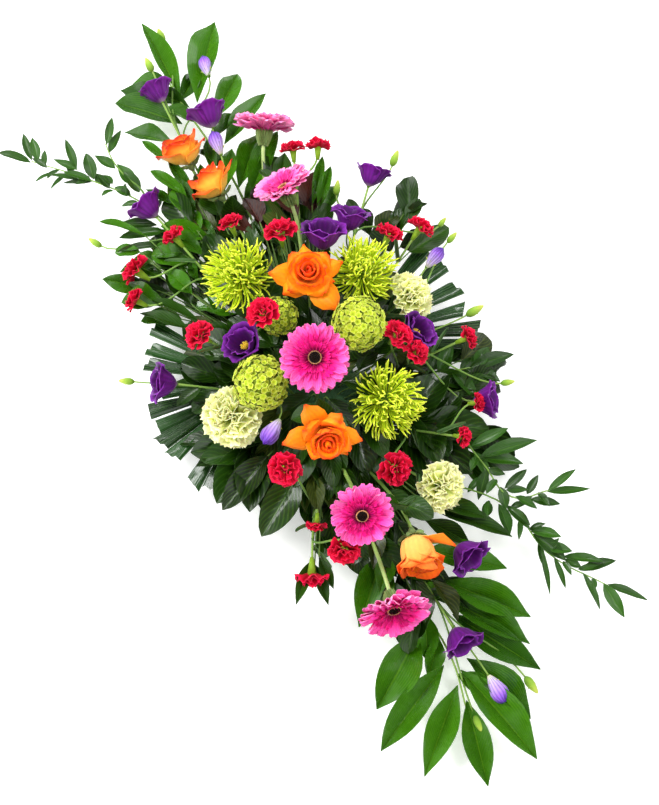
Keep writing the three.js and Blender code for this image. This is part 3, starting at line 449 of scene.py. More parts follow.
# Gerbera stems. Bare, smooth, pale green stalks, each widening into a cup of grey-green bracts
# that closes under its head. The foot of each is pushed into the foam.
GERBERA_STEMS = (
    ((2, -1, 57), (3, -2, 122), (-10, 2, 166), (6, -4, 228)),
    ((67, -3, 66), (110, -6, 104), (155, -1, 127), (190, -10, 172)),
    ((90, -2, 54), (176, -4, 83), (209, 3, 95), (294, -7, 123)),
    ((-89, 16, 69), (-136, 25, 101), (-201, 57, 126), (-238, 45, 169)),
    ((-90, 12, 49), (-180, 25, 73), (-274, 14, 91), (-357, 50, 118)),
)
GERBERA_STEM_RADIUS, SEAT_GAP = 2.6, 0.3
CUP_FOOT, CUP_RIM, CUP_DEPTH, CUP_MIDDLE = 3.6, 8, 16, -8.2
# count, out, up, lift and length of the bracts of each row
BRACT_ROWS = ((11, 3.2, -16, 78, 10), (13, 4.4, -12.5, 76, 11), (15, 5.6, -9, 74, 11), (17, 6.9, -5, 70, 10))
BRACT_WIDTH = 4.4


def stalk(bm, route, radius, slot=0, taper=0.85, rings=8):
    """A round stalk along a curve, joined to a piece. The middle two of four points are handles."""
    line = bpy.data.curves.new("stalk", "CURVE")
    line.dimensions, line.use_fill_caps = "3D", True
    line.bevel_depth, line.bevel_resolution, line.resolution_u = radius * MM, 1, rings
    spline = line.splines.new("BEZIER")
    points = [Vector(p) * MM for p in route]
    if len(points) == 4:
        spline.bezier_points.add(1)
        foot, head = spline.bezier_points
        foot.co, foot.handle_right, foot.handle_left = points[0], points[1], 2 * points[0] - points[1]
        head.co, head.handle_left, head.handle_right = points[3], points[2], 2 * points[3] - points[2]
    else:
        spline.bezier_points.add(len(points) - 1)
        for knot, point in zip(spline.bezier_points, points):
            knot.co, knot.handle_left_type, knot.handle_right_type = point, "AUTO", "AUTO"
    for i, knot in enumerate(spline.bezier_points):
        knot.radius = 1 + (taper - 1) * i / (len(spline.bezier_points) - 1)
    drawn = bpy.data.objects.new("stalk", line)
    tube = layered(bmesh.new())
    tube.from_mesh(bpy.data.meshes.new_from_object(drawn))
    bmesh.ops.remove_doubles(tube, verts=tube.verts[:], dist=0.02 * MM)
    along, whole = tube.verts.layers.float["along"], (points[-1] - points[0]).length
    for v in tube.verts:
        v[along] = min((v.co - points[0]).length / whole, 1)
    mesh = kept("stalk", tube)
    set_in(bm, mesh, Matrix(), 0.5, slot, slot)
    bpy.data.meshes.remove(mesh)
    bpy.data.objects.remove(drawn)
    bpy.data.curves.remove(line)


stem_finish = petal_finish(
    "stem_skin", ((0, "4d7030"), (0.6, "6f9440"), (1, "86a64e")),
    streaks=3, roughness=0.45, sheen=0.05, glow=0.05,
)
pale_stem = petal_finish(
    "gerbera_stem_skin", ((0, "5c8038"), (0.5, "8fb054"), (1, "b4c884")), streaks=3, glow=0.08,
)
bract_finish = petal_finish(
    "gerbera_bract", ((0, "7f9458"), (0.7, "72884c"), (1, "5c7040")), streaks=3, roughness=0.6,
)
bract = petal_sheet(
    "bract", lambda t: 0.75 + 0.25 * sin(pi * t) - 0.75 * eased(0.55, 1, t), lambda s, t: -0.3 * s * s,
    bend=24, cells=(2, 4), thick=0.05,
)

for number, ((at, _, faces, *_), route) in enumerate(zip(GERBERAS, GERBERA_STEMS), 1):
    name = f"gerbera_{number}_stem"
    face = facing(*faces)
    cup = stand(Vector(at) * MM - face * (GERBERA_HEIGHT + SEAT_GAP) * MM, face, number)
    draw = random.Random(20 + number)
    bm = layered(bmesh.new())
    stalk(bm, route, GERBERA_STEM_RADIUS, 0, 0.95, 14)
    cone(bm, cup, CUP_FOOT * MM, CUP_RIM * MM, CUP_DEPTH * MM, CUP_MIDDLE * MM, 20, 1)
    for row, (count, out, up, lift, long) in enumerate(BRACT_ROWS):
        size = (BRACT_WIDTH * MM, long * MM, long * MM)
        for i in range(count):
            place = spoke(2 * pi * (i + row / 3) / count, out * MM, up * MM, lift, 0, size)
            set_in(bm, bract, cup @ place, draw.random(), 1, 1)
    stem = as_piece(bm, f"{name}_skin", pale_stem, bract_finish)
    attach(stem, "root")
    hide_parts(name)


# Rose heads. Two big orange roses wide open round a swirled middle, one hanging apricot bell, and two
# yellow-orange cups with red tips. The petals wrap round each other, and the outer ones roll back.
ROSES = (
    # middle, width across, heading and rise of its face, kind
    ((-107, 27, 238), 76, (-19, 82), "orange"),
    ((118, -26, 228), 74, (-10, 40), "orange"),
    ((282, 37, 147), 62, (-6, -1), "apricot"),
    ((-398, -61, 110), 66, (-164, 35), "flame"),
    ((-325, -43, 140), 64, (-160, 30), "flame"),
)
ROSE_HEIGHTS = {"orange": 0.6, "apricot": 0.8, "flame": 0.6}
ROSE_RINGS = {
    # count, half the wrap in degrees at the foot, middle and tip, profile of (out, up) points, roll, droop
    "orange": (
        (4, (60, 44, 5), ((0.04, 0.04), (0.18, 0.17), (0.28, 0.32), (0.36, 0.42), (0.43, 0.43)), 0.02, 0.2),
        (4, (74, 72, 30), ((0.04, 0.06), (0.14, 0.22), (0.2, 0.36), (0.235, 0.5), (0.28, 0.55)), 0.03, 0.08),
        (3, (95, 100, 60), ((0.04, 0.1), (0.1, 0.26), (0.14, 0.4), (0.15, 0.53), (0.18, 0.59)), 0.02, 0.04),
        (3, (100, 110, 80), ((0.03, 0.14), (0.07, 0.28), (0.09, 0.42), (0.09, 0.54), (0.1, 0.6)), 0.01, 0.03),
        (2, (120, 130, 110), ((0.02, 0.14), (0.035, 0.3), (0.05, 0.42), (0.045, 0.52), (0.04, 0.585)), 0, 0.02),
    ),
    "apricot": (
        (3, (64, 64, 34), ((0.04, 0.02), (0.24, 0.1), (0.32, 0.3), (0.34, 0.56), (0.47, 0.7)), 0.03, 0.12),
        (4, (76, 78, 40), ((0.04, 0.03), (0.22, 0.14), (0.29, 0.36), (0.31, 0.6), (0.43, 0.79)), 0.05, 0.1),
        (4, (84, 86, 44), ((0.04, 0.05), (0.17, 0.22), (0.24, 0.42), (0.26, 0.62), (0.29, 0.78)), 0.03, 0.06),
        (3, (100, 110, 70), ((0.03, 0.1), (0.11, 0.28), (0.16, 0.48), (0.17, 0.64), (0.19, 0.76)), 0.02, 0.04),
        (3, (120, 130, 100), ((0.02, 0.14), (0.06, 0.32), (0.08, 0.5), (0.08, 0.64), (0.07, 0.74)), 0, 0.02),
    ),
    "flame": (
        (3, (64, 58, 3), ((0.04, 0.02), (0.24, 0.11), (0.37, 0.26), (0.46, 0.4), (0.6, 0.46)), 0.0, 0.16),
        (3, (76, 72, 5), ((0.04, 0.03), (0.22, 0.15), (0.31, 0.33), (0.36, 0.5), (0.44, 0.62)), 0.02, 0.12),
        (4, (82, 84, 44), ((0.04, 0.05), (0.17, 0.2), (0.235, 0.36), (0.25, 0.5), (0.26, 0.58)), 0.02, 0.05),
        (3, (100, 110, 70), ((0.03, 0.1), (0.11, 0.26), (0.15, 0.42), (0.155, 0.54), (0.15, 0.59)), 0, 0.03),
        (3, (120, 130, 100), ((0.02, 0.14), (0.06, 0.28), (0.08, 0.42), (0.07, 0.54), (0.055, 0.59)), 0, 0.02),
    ),
}
# Outer petals that turn back on their own: angle, length and half the width at the shoulder in degrees
OPEN_PETALS = {
    1: (
        (9, 0.52, 30), (88, 0.66, 36), (-69, 0.60, 32), (-142, 0.78, 34), (130, 0.54, 44), (-105, 0.44, 40),
        (45, 0.44, 40),
    ),
    2: ((29, 0.70, 34), (98, 0.72, 36), (-103, 0.62, 36), (162, 0.46, 44), (-138, 0.54, 40), (-33, 0.48, 40)),
    3: ((-86, 0.76, 46),),
}
# How high their four outer bends stand over the foot
TURNED_BACK = {1: (0.15, 0.27, 0.31, 0.24), 2: (0.15, 0.27, 0.31, 0.24), 3: (0.12, 0.28, 0.42, 0.48)}
ROSE_FOOT, SHOULDER_LOSS, TIP_SPREAD, RING_TURN = (0.04, 0.02), 12, 1.5, 0.62
ROSE_TONES = {
    # inside, outside, and the strength of the streaks on each
    "orange": (
        ((0, "ffaa18"), (0.5, "ff920a"), (0.84, "ff7a04"), (1, "ee4404")),
        ((0, "f8ac30"), (0.5, "ff9214"), (0.85, "f8680a"), (1, "e63a06")), 0.05, 0.04,
    ),
    "apricot": (
        ((0, "ffa83c"), (0.5, "fa9020"), (0.86, "f47410"), (1, "e0500c")),
        ((0, "f4cc74"), (0.45, "fcaa54"), (0.85, "fa9440"), (1, "ee6a1c")), 0.05, 0.04,
    ),
    "flame": (
        ((0, "ffd048"), (0.56, "ffac30"), (0.76, "f6701c"), (1, "da220e")),
        ((0, "ffd85c"), (0.56, "ffb640"), (0.76, "f67024"), (1, "dc2812")), 0.04, 0.03,
    ),
}


def spreading(degrees, until, since, power):
    """How far to each side a petal wraps, from its foot through its middle to its tip."""
    foot, middle, tip = (radians(wrap) for wrap in degrees)
    return lambda t: (
        foot + (middle - foot) * eased(0, until, t) + (tip - middle) * eased(since, 1, t) ** power
    )


def wrap_petal(
    bm, head, size, spread, profile, roll, droop, ripple, angle, tint,
    slots=(0, 1), cells=(7, 7), thick=0.012,
):
    """Sets a petal round the axis of its bloom: a grid bent to a profile of (out, up) points."""
    sheet, along, across = new_grid(cells)
    last = len(profile) - 1
    for v in sheet.verts:
        side, run = 2 * v.co.x, v.co.y + 0.5
        v[along], v[across] = run, side
        low = min(int(run * last), last - 1)
        share = run * last - low
        share = share * share * (3 - 2 * share) * 0.4 + share * 0.6
        out, up = (a + (b - a) * share for a, b in zip(profile[low], profile[low + 1]))
        out += roll * side * side * run * run + ripple * sin(2.5 * pi * side + 1) * run ** 3
        up -= droop * abs(side) ** 1.6 * run ** 2 * min(1, spread(run) / 0.35)
        turn = spread(run) * side
        v.co = (out * sin(turn), out * cos(turn), up)
    bmesh.ops.remove_doubles(sheet, verts=sheet.verts[:], dist=1e-3)
    bmesh.ops.recalc_face_normals(sheet, faces=sheet.faces[:])
    inner = min(sheet.faces, key=lambda f: f.calc_center_median().z)
    if inner.normal.dot(Vector((0, 1, 0))) > 0:
        bmesh.ops.reverse_faces(sheet, faces=sheet.faces[:])
    petal = kept("petal", sharpened(thickened(sheet, thick)))
    set_in(bm, petal, head @ (Matrix.Rotation(angle, 4, "Z") @ Matrix.Scale(size, 4)), tint, *slots)
    bpy.data.meshes.remove(petal)


def upright(head):
    """The same place, turned about its own axis until its +Y runs up the picture."""
    axis, right = head.to_3x3().col[2], camera.rotation_quaternion @ Vector((1, 0, 0))
    y = axis.cross(right).normalized()
    return Matrix.Translation(head.translation) @ Matrix((y.cross(axis), y, axis)).transposed().to_4x4()


rose_finish = {
    kind: (
        petal_finish(f"rose_{kind}", inside, 6, streak),
        petal_finish(f"rose_{kind}_outside", outside, 6, outer_streak),
    )
    for kind, (inside, outside, streak, outer_streak) in ROSE_TONES.items()
}

for number, (at, across, faces, kind) in enumerate(ROSES, 1):
    face = facing(*faces)
    head = stand(Vector(at) * MM - face * across * ROSE_HEIGHTS[kind] * MM, face, 0.4 * number)
    draw = random.Random(40 + number)
    bm = layered(bmesh.new())
    for angle, long, shoulder in OPEN_PETALS.get(number, ()):
        dip = draw.uniform(-0.04, 0.03)
        bends = zip((0.2, 0.6 * long, 0.84 * long, long), TURNED_BACK[number], (0, 0, dip, dip))
        wrap_petal(
            bm, upright(head), across * MM,
            spreading((shoulder + SHOULDER_LOSS, shoulder, TIP_SPREAD), 0.5, 0.42, 0.9),
            [ROSE_FOOT, *((out, up + shift) for out, up, shift in bends)], 0.0,
            draw.uniform(0.3, 0.42), draw.uniform(-0.02, 0.02), radians(angle), draw.random(),
        )
    for ring, (count, wraps, profile, roll, droop) in enumerate(ROSE_RINGS[kind]):
        for i in range(count):
            shift = draw.uniform(-0.02, 0.02)
            bent = [
                (out * draw.uniform(0.96, 1.02), up + shift * mark) for mark, (out, up) in enumerate(profile)
            ]
            wrap_petal(
                bm, head, across * MM, spreading(wraps, 0.6, 0.6, 1.3), bent, roll,
                droop * draw.uniform(0.7, 1.2), draw.uniform(-0.02, 0.02),
                2 * pi * (i + draw.uniform(-0.1, 0.1)) / count + ring * RING_TURN, draw.random(),
            )
    bloom = as_piece(bm, f"rose_{number}_bloom", *rose_finish[kind])
    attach(bloom, "root")
    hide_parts(f"rose_{number}_head")


# Spider chrysanthemums. Lime green quills, thin rolled tubes with hooked tips, crowd round a green
# middle: the outer ones long and drooping, the inner ones short and curled in.
CHRYSANTHEMUMS = (
    # middle, width across, heading and rise of its face
    ((-151, -59, 200), 100, (-81, 70)), ((-104, 102, 200), 94, (56, 80)), ((79, 74, 192), 100, (19, 56)),
)
CHRYSANTHEMUM_HEIGHT, CORE_RADIUS = 34, 12
QUILL_RINGS = (
    # count, out, up, lift and length as a share of the width across; the last four take short quills
    (40, 4, 3, -10, 0.5), (42, 4, 5, 2, 0.5), (40, 5, 7, 14, 0.49), (38, 5, 9, 26, 0.47),
    (34, 5, 11, 38, 0.44), (30, 4, 13, 50, 0.4), (24, 3, 15, 62, 0.35), (18, 2, 17, 74, 0.31),
    (10, 1, 18, 84, 0.27),
)
LONG_RINGS = 5


def quill(name, hook, start, thick=0.021, sides=5, steps=8):
    """A rolled tube of length one along +Y that bends more and more towards a hooked, spooned tip."""
    bm, along, across = new_grid((sides, steps))
    route, y, z = [], 0.0, 0.0
    for i in range(steps + 1):
        lean = radians(start + hook * (i / steps) ** 2.2)
        route.append((y, z, lean))
        y, z = y + cos(lean) / steps, z + sin(lean) / steps
    for v in bm.verts:
        run, around = v.co.y + 0.5, 2 * pi * (v.co.x + 0.5)
        v[along], v[across] = run, cos(around)
        y, z, lean = route[round(run * steps)]
        radius = thick * (0.75 + 0.45 * eased(0.4, 0.9, run)) * (1 - 0.72 * eased(0.9, 1, run))
        side, up = radius * cos(around), radius * sin(around)
        v.co = (side, y - up * sin(lean), z + up * cos(lean))
    bmesh.ops.remove_doubles(bm, verts=bm.verts[:], dist=1e-4)
    bmesh.ops.holes_fill(bm, edges=bm.edges[:], sides=sides)
    bmesh.ops.recalc_face_normals(bm, faces=bm.faces[:])
    return kept(name, bm)


quill_finish = petal_finish(
    "quill", ((0, "80980e"), (0.35, "b4cc1a"), (0.75, "cce024"), (1, "e2ec50")), streaks=2, streak=0.05,
)
quill_core = petal_finish("quill_core", ((0, "5f8018"), (1, "8ca82a")), streaks=2)
long_quills = [quill("long_quill", *bend) for bend in ((72, -4), (118, -8), (40, 4), (96, 2))]
short_quills = [quill("short_quill", *bend, 0.027) for bend in ((70, 0), (110, -6), (48, 4))]

for number, (at, across, faces) in enumerate(CHRYSANTHEMUMS, 1):
    face = facing(*faces)
    head = stand(Vector(at) * MM - face * CHRYSANTHEMUM_HEIGHT * MM, face, number)
    draw = random.Random(60 + number)
    bm = layered(bmesh.new())
    finished(bmesh.ops.create_uvsphere(
        bm, u_segments=14, v_segments=8, radius=CORE_RADIUS * MM,
        matrix=head @ Matrix.Translation((0, 0, CORE_RADIUS * MM)),
    ), 1)
    for ring, (count, out, up, lift, long) in enumerate(QUILL_RINGS):
        for i in range(count):
            angle = 2 * pi * (i + draw.uniform(-0.4, 0.4)) / count
            size = across * MM * long * draw.uniform(0.84, 1.04)
            place = spoke(
                angle, out * MM, up * MM, lift + draw.uniform(-8, 8), draw.uniform(-40, 40), [size] * 3,
            )
            place = place @ Matrix.Rotation(draw.uniform(-0.2, 0.2), 4, "Z")
            kinds = long_quills if ring < LONG_RINGS else short_quills
            set_in(bm, draw.choice(kinds), head @ place, draw.random())
    bloom = as_piece(bm, f"chrysanthemum_{number}_bloom", quill_finish, quill_core)
    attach(bloom, "root")
    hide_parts(f"chrysanthemum_{number}_head")


# Snowball viburnums. A round head of small five-lobed florets in pale lime, each on its own short
# green stalk, close together round the branched middle.
VIBURNUMS = (
    # middle, width across, heading and rise of its face
    ((-29, 66, 205), 67, (25, 70)), ((0, -73, 193), 68, (-56, 57)), ((-88, -20, 165), 50, (-47, 68)),
)
# Floret size and the middle's radius as shares of the head's, and the florets of a head of a given width
FLORET, VIBURNUM_CORE, FLORETS_AT = 0.126, 0.89, (330, 67)
FLORET_SCATTER, FLORET_SPAN = 0.09, 1.86
GOLDEN = radians(137.508)


def floret(name, cup, lobes_deep=0.42):
    """A flat five-lobed flower of radius one, from a filled circle, cupped or turned back."""
    bm = layered(bmesh.new())
    bmesh.ops.create_circle(bm, cap_ends=True, cap_tris=True, segments=15, radius=1)
    along, across = bm.verts.layers.float["along"], bm.verts.layers.float["across"]
    for v in bm.verts:
        out, angle = v.co.xy.length, atan2(v.co.y, v.co.x)
        lobe = abs(cos(2.5 * angle)) ** 0.6
        reach = out * (1 - lobes_deep * (1 - lobe) * out)
        v[along], v[across] = out, lobe
        v.co = (reach * cos(angle), reach * sin(angle), cup * out * out * (0.6 + 0.4 * lobe))
    return kept(name, sharpened(thickened(bm, 0.1)))


floret_lime = petal_finish(
    "viburnum_floret", ((0, "7c8e12"), (0.3, "9aac1c"), (0.8, "b0be30"), (1, "c8d25c")), 3, 0.04, 0.6,
)
viburnum_core = petal_finish("viburnum_core", ((0, "7a901e"), (1, "a0b232")), 2)
florets = [floret("floret", cup) for cup in (0.3, -0.15, 0.5)]

for number, (at, across, faces) in enumerate(VIBURNUMS, 1):
    ball = stand(Vector(at) * MM, facing(*faces), number)
    radius = across * MM / 2
    draw = random.Random(70 + number)
    bm = layered(bmesh.new())
    finished(bmesh.ops.create_icosphere(bm, subdivisions=3, radius=radius * VIBURNUM_CORE, matrix=ball), 1)
    count = round(FLORETS_AT[0] * (across / FLORETS_AT[1]) ** 2)
    for i in range(count):
        rise = 1 - FLORET_SPAN * (i + 0.5) / count
        out = sqrt(1 - rise * rise)
        way = Vector((out * cos(GOLDEN * i), out * sin(GOLDEN * i), rise))
        scatter = Vector([draw.uniform(-FLORET_SCATTER, FLORET_SCATTER) for _ in range(3)])
        way = (way + scatter).normalized()
        spot = stand(way * radius * draw.uniform(0.88, 1.0), way, draw.uniform(0, 6))
        size = 2 * radius * FLORET * 0.5 * draw.uniform(0.9, 1.15)
        tip = Matrix.Rotation(draw.uniform(-0.5, 0.5), 4, "X") @ Matrix.Scale(size, 4)
        set_in(bm, draw.choice(florets), ball @ spot @ tip, draw.random())
        cone(bm, ball @ stand(way * radius * 0.86, way), 0.9 * MM, 0.6 * MM, radius * 0.16, 0, 4, 1)
    bloom = as_piece(bm, f"viburnum_{number}_bloom", floret_lime, viburnum_core)
    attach(bloom, "root")
    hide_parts(f"viburnum_{number}_head")


# Leafy stems of the roses, chrysanthemums and viburnums. Each is one stalk with three leaves below
# its bloom, pushed into the foam; the roses and chrysanthemums also have five sepals turned back under it.
BLOOM_STEMS = {
    "rose_1": ((-35, 9, 61), (-57, 14, 96), (-119, 31, 146), (-114, 29, 187)),
    "rose_2": ((23, -5, 59), (41, -10, 101), (46, -13, 167), (80, -19, 195)),
    "rose_3": ((87, 17, 70), (114, 23, 86), (185, 46, 150), (228, 43, 148)),
    "rose_4": ((-89, -12, 47), (-198, -28, 62), (-275, -26, 20), (-362, -51, 84)),
    "rose_5": ((-90, -9, 54), (-157, -16, 75), (-231, -9, 82), (-289, -30, 118)),
    "chrysanthemum_1": ((-54, -16, 65), (-87, -26, 98), (-156, -30, 119), (-153, -46, 164)),
    "chrysanthemum_2": ((-38, 31, 65), (-58, 50, 93), (-112, 91, 124), (-108, 96, 162)),
    "chrysanthemum_3": ((19, 21, 61), (30, 33, 87), (43, 62, 135), (59, 67, 160)),
    "viburnum_1": ((-12, 18, 59), (-19, 30, 91), (-49, 57, 145), (-38, 62, 178)),
    "viburnum_2": ((-3, -17, 59), (-5, -32, 97), (-21, -41, 134), (-9, -60, 168)),
    "viburnum_3": ((-33, -5, 62), (-52, -8, 88), (-102, -5, 115), (-94, -14, 145)),
}
BLOOM_LEAVES = {
    # root, tip and width of each
    "rose_1": (
        ((-98, 25, 140), (-103, 69, 164), 30), ((-107, 28, 155), (-150, 8, 168), 30),
        ((-112, 29, 169), (-81, 25, 207), 30),
    ),
    "rose_2": (
        ((52, -14, 153), (53, -55, 179), 30), ((59, -15, 168), (102, 6, 180), 30),
        ((67, -17, 181), (50, -17, 228), 30),
    ),
    "rose_3": (
        ((171, 38, 131), (203, 4, 146), 30), ((187, 41, 141), (219, 77, 130), 30),
        ((201, 44, 147), (214, 42, 195), 30),
    ),
    "rose_4": (
        ((-270, -32, 48), (-303, 4, 51), 30), ((-298, -36, 53), (-326, -71, 34), 30),
        ((-326, -42, 63), (-346, -68, 83), 24),
    ),
    "rose_5": (
        ((-221, -16, 89), (-252, 22, 97), 30), ((-243, -19, 96), (-274, -53, 80), 30),
        ((-264, -23, 104), (-274, -21, 153), 30),
    ),
    "chrysanthemum_1": (
        ((-123, -30, 115), (-160, 11, 135), 34), ((-137, -34, 127), (-171, -82, 127), 34),
        ((-147, -38, 140), (-146, -12, 191), 33),
    ),
    "chrysanthemum_2": (
        ((-86, 73, 114), (-74, 126, 136), 34), ((-96, 82, 127), (-155, 88, 129), 34),
        ((-104, 89, 140), (-131, 81, 177), 27),
    ),
    "chrysanthemum_3": (
        ((39, 49, 116), (88, 35, 145), 34), ((44, 56, 130), (47, 114, 142), 34),
        ((50, 61, 143), (35, 43, 197), 34),
    ),
    "viburnum_1": (
        ((-34, 45, 125), (-8, 81, 151), 36), ((-38, 51, 141), (-83, 68, 156), 36),
        ((-40, 56, 156), (-23, 75, 185), 27),
    ),
    "viburnum_2": (
        ((-12, -39, 121), (-55, -35, 148), 36), ((-13, -44, 134), (13, -85, 151), 36),
        ((-13, -50, 147), (-21, -24, 191), 36),
    ),
    "viburnum_3": (
        ((-78, -7, 106), (-113, 25, 118), 35), ((-86, -8, 117), (-121, -45, 124), 36),
        ((-92, -10, 127), (-109, 11, 159), 30),
    ),
}
BLOOM_STEM_RADIUS, CALYX_FOOT, CALYX_DEPTH, CALYX_MIDDLE = 2.2, 2.2, 9, -5
LEAFLET_BREADTH, LOBED_BREADTH, SEPAL_SIZE = 1.05, 1.3, (6.5, 17, 17)


def leaf_finish(name, dark, light, vein_and_shine, veins, slant, roughness=0.3, coat=0.2):
    """Dark between paler veins that slant from the midrib, darker and lighter leaf by leaf, and glossy.
    On the palm blades the pale lines along the folds are partly their own ribs and partly painted highlight.
    """
    made, shader = new_finish(name)
    along, across, tint = (marked(shader, layer) for layer in LAYERS)

    def count(*parts):
        return counted(shader, *parts)

    aside = count("ABSOLUTE", across)
    phase = count("MULTIPLY", aside, veins)
    if slant:
        phase = count("MULTIPLY_ADD", aside, -slant, count("MULTIPLY", along, veins))
    ridge = count("POWER", count("ABSOLUTE", count("SINE", count("MULTIPLY", phase, pi))), 8)
    midrib = count("SUBTRACT", 1, count("MULTIPLY", aside, 14))
    rib = count("MAXIMUM", count("MULTIPLY", ridge, 0.45), count("MAXIMUM", midrib, 0))
    mottle = pattern(shader, "TexNoise", 70, Detail=4)
    mixed = count("MULTIPLY_ADD", mottle, 0.6, count("MULTIPLY_ADD", tint, 0.9, -0.35))
    blade = step(shader, "MixRGB", Color1=paint(dark), Color2=paint(light), Fac=mixed)
    rib_mask = count("MULTIPLY", rib, 0.55)
    veined = step(shader, "MixRGB", Color1=blade.outputs["Color"], Color2=paint(vein_and_shine), Fac=rib_mask)
    gloss = step(shader, "MapRange", To_Min=roughness - 0.06, To_Max=roughness + 0.12, Value=mottle)
    bumped(shader, count("MULTIPLY_ADD", mottle, 0.5, count("MULTIPLY", rib, -1)), 0.5, 0.7)
    fed(
        shader, Base_Color=veined.outputs["Color"], Roughness=gloss.outputs["Result"],
        Specular_IOR_Level=0.28, Coat_Weight=coat, Coat_Roughness=0.12,
    )
    return made


def leaf_outline(widest, blunt=0.0, root_power=0.8):
    def share(run):
        root = sin(0.5 * pi * min(run / widest, 1)) ** root_power
        tip = cos(0.5 * pi * max((run - widest) / (1 - widest), 0)) ** (0.85 - blunt)
        return max(min(root, tip), 0.02)
    return share


def lobes(run):
    return leaf_outline(0.4)(run) * (1 - 0.34 * max(0, sin(4 * pi * (run - 0.12))) * eased(0.2, 0.4, run))


def leaf_kinds(name, outline, bends, fold=0.16, wave=0.05, cells=(4, 9), thick=0.009):
    """Three leaves of one species, which differ in how they bend and ripple, each with its bend."""
    return [
        (petal_sheet(
            f"{name}_{i}", outline,
            lambda s, t, k=i: outline(t) * (
                fold * abs(s) + wave * sin(7 * t + 2 * k) * s + 0.5 * wave * sin(13 * t + k) * s * s
            ),
            bend=bend, cells=cells, thick=thick,
        ), bend)
        for i, bend in enumerate(bends)
    ]


def set_leaf(bm, kinds, root, tip, wide, draw, top=0, under=1, roll=12):
    """Lays a leaf from its root to its tip, with its face up, turned a little about its own length."""
    root, tip = Vector(root) * MM, Vector(tip) * MM
    along = (tip - root).normalized()
    x = along.cross(Vector((0, 0, 1))).normalized()
    basis = Matrix((x, along, x.cross(along))).transposed().to_4x4()
    long, wide = (tip - root).length, wide * MM
    leaf, bend = kinds[draw.randrange(len(kinds))]
    spin = Matrix.Rotation(radians(draw.uniform(-roll, roll)), 4, "Y")
    aim = Matrix.Rotation(-0.5 * radians(bend), 4, "X")
    size = Matrix.Diagonal((wide, long, (wide * long) ** 0.5, 1))
    set_in(bm, leaf, Matrix.Translation(root) @ basis @ spin @ aim @ size, draw.random(), top, under)


dark_leaf = leaf_finish("dark_leaf", "0c1e02", "244a06", "48700e", 9, 3.5, 0.3, 0.12)
dark_underside = leaf_finish("leaf_underside", "2c4a1c", "4c6e30", "789850", 9, 3.5, 0.6, 0.0)
leaflet = leaf_kinds("leaflet", leaf_outline(0.42, 0.1), (-34, -20, -46))
lobed = leaf_kinds("lobed", lobes, (-34, -18, -44), cells=(4, 12))
sepal = petal_sheet("sepal", leaf_outline(0.3), lambda s, t: 0.2 * s * s, bend=70, cells=(2, 5), thick=0.03)

# middle of the bloom, depth from there to the seat, facing, and radius of the calyx
SEATS = (
    *((at, across * ROSE_HEIGHTS[kind], faces, 7) for at, across, faces, kind in ROSES),
    *((at, CHRYSANTHEMUM_HEIGHT, faces, 8) for at, _, faces in CHRYSANTHEMUMS),
    *((at, across * 0.43, faces, 0) for at, across, faces in VIBURNUMS),
)

for number, (name, (at, depth, faces, wide)) in enumerate(zip(BLOOM_STEMS, SEATS)):
    face = facing(*faces)
    cup = stand(Vector(at) * MM - face * (depth + SEAT_GAP) * MM, face, number)
    draw = random.Random(90 + number)
    bm = layered(bmesh.new())
    stalk(bm, BLOOM_STEMS[name], BLOOM_STEM_RADIUS, 0, 0.9, 12)
    kinds, breadth = (lobed, LOBED_BREADTH) if "chrysanthemum" in name else (leaflet, LEAFLET_BREADTH)
    for root, tip, width in BLOOM_LEAVES[name]:
        set_leaf(bm, kinds, root, tip, width * breadth, draw, 2, 3)
    if wide:
        cone(bm, cup, CALYX_FOOT * MM, wide * MM, CALYX_DEPTH * MM, CALYX_MIDDLE * MM, 16, 1)
        for i in range(5):
            size = [side * MM for side in SEPAL_SIZE]
            place = spoke(2 * pi * i / 5, wide * 0.6 * MM, -1.6 * MM, -18, 0, size)
            set_in(bm, sepal, cup @ place, draw.random(), 1, 1)
    stem = as_piece(bm, f"{name}_stem_leafy", stem_finish, bract_finish, dark_leaf, dark_underside)
    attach(stem, "root")
    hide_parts(f"{name}_stem")


# Carnations. Three pale cream-green heads of ruffled, saw-edged petals packed into a dome over a
# long green cup, on jointed grey-green stems with two narrow leaves.
CARNATIONS = (
    # middle, width across, heading and rise of its face
    ((27, -132, 170), 84, (-52, 50)), ((-65, 167, 160), 68, (84, 46)), ((193, 109, 135), 70, (30, 45)),
)
CARNATION_STEMS = (
    ((4, -37, 64), (5, -56, 83), (-1, -97, 116), (10, -110, 137)),
    ((-22, 35, 57), (-39, 73, 84), (-71, 107, 97), (-68, 140, 132)),
    ((80, 43, 65), (104, 57, 76), (150, 84, 86), (169, 95, 107)),
)
CARNATION_LEAVES = (
    # root and tip of each
    (((4, -92, 116), (-33, -116, 136)), ((6, -101, 125), (44, -131, 127))),
    (((-63, 110, 106), (-34, 146, 121)), ((-66, 122, 115), (-104, 153, 112))),
    (((146, 82, 91), (188, 60, 102)), ((156, 88, 97), (174, 132, 87))),
)
CARNATION_TIERS = (
    # count, lift, and length and width as shares of the width across
    (9, 13, 0.50, 0.40), (9, 26, 0.50, 0.38), (8, 42, 0.485, 0.35), (7, 58, 0.47, 0.32), (6, 72, 0.455, 0.30),
    (4, 84, 0.44, 0.28),
)
CARNATION_HEIGHT, CARNATION_STEM_RADIUS, STRAP_WIDTH = 0.42, 2, 6


def frilled(waves, depth, claw=0.2, cells=(12, 6)):
    """A petal with a narrow claw and a broad fan whose saw-toothed edge is gathered into waves."""
    return petal_sheet(
        "frilled", lambda t: claw + (1 - claw) * eased(0.25, 0.85, t),
        lambda s, t: depth * sin(waves * pi * s + 1.3) * eased(0.35, 1, t) + 0.1 * s * s,
        bend=-16, cells=cells, thick=0.016,
        edge=lambda s: -0.16 * s * s - 0.05 * (round((s + 1) * cells[0] / 2) % 2),
    )


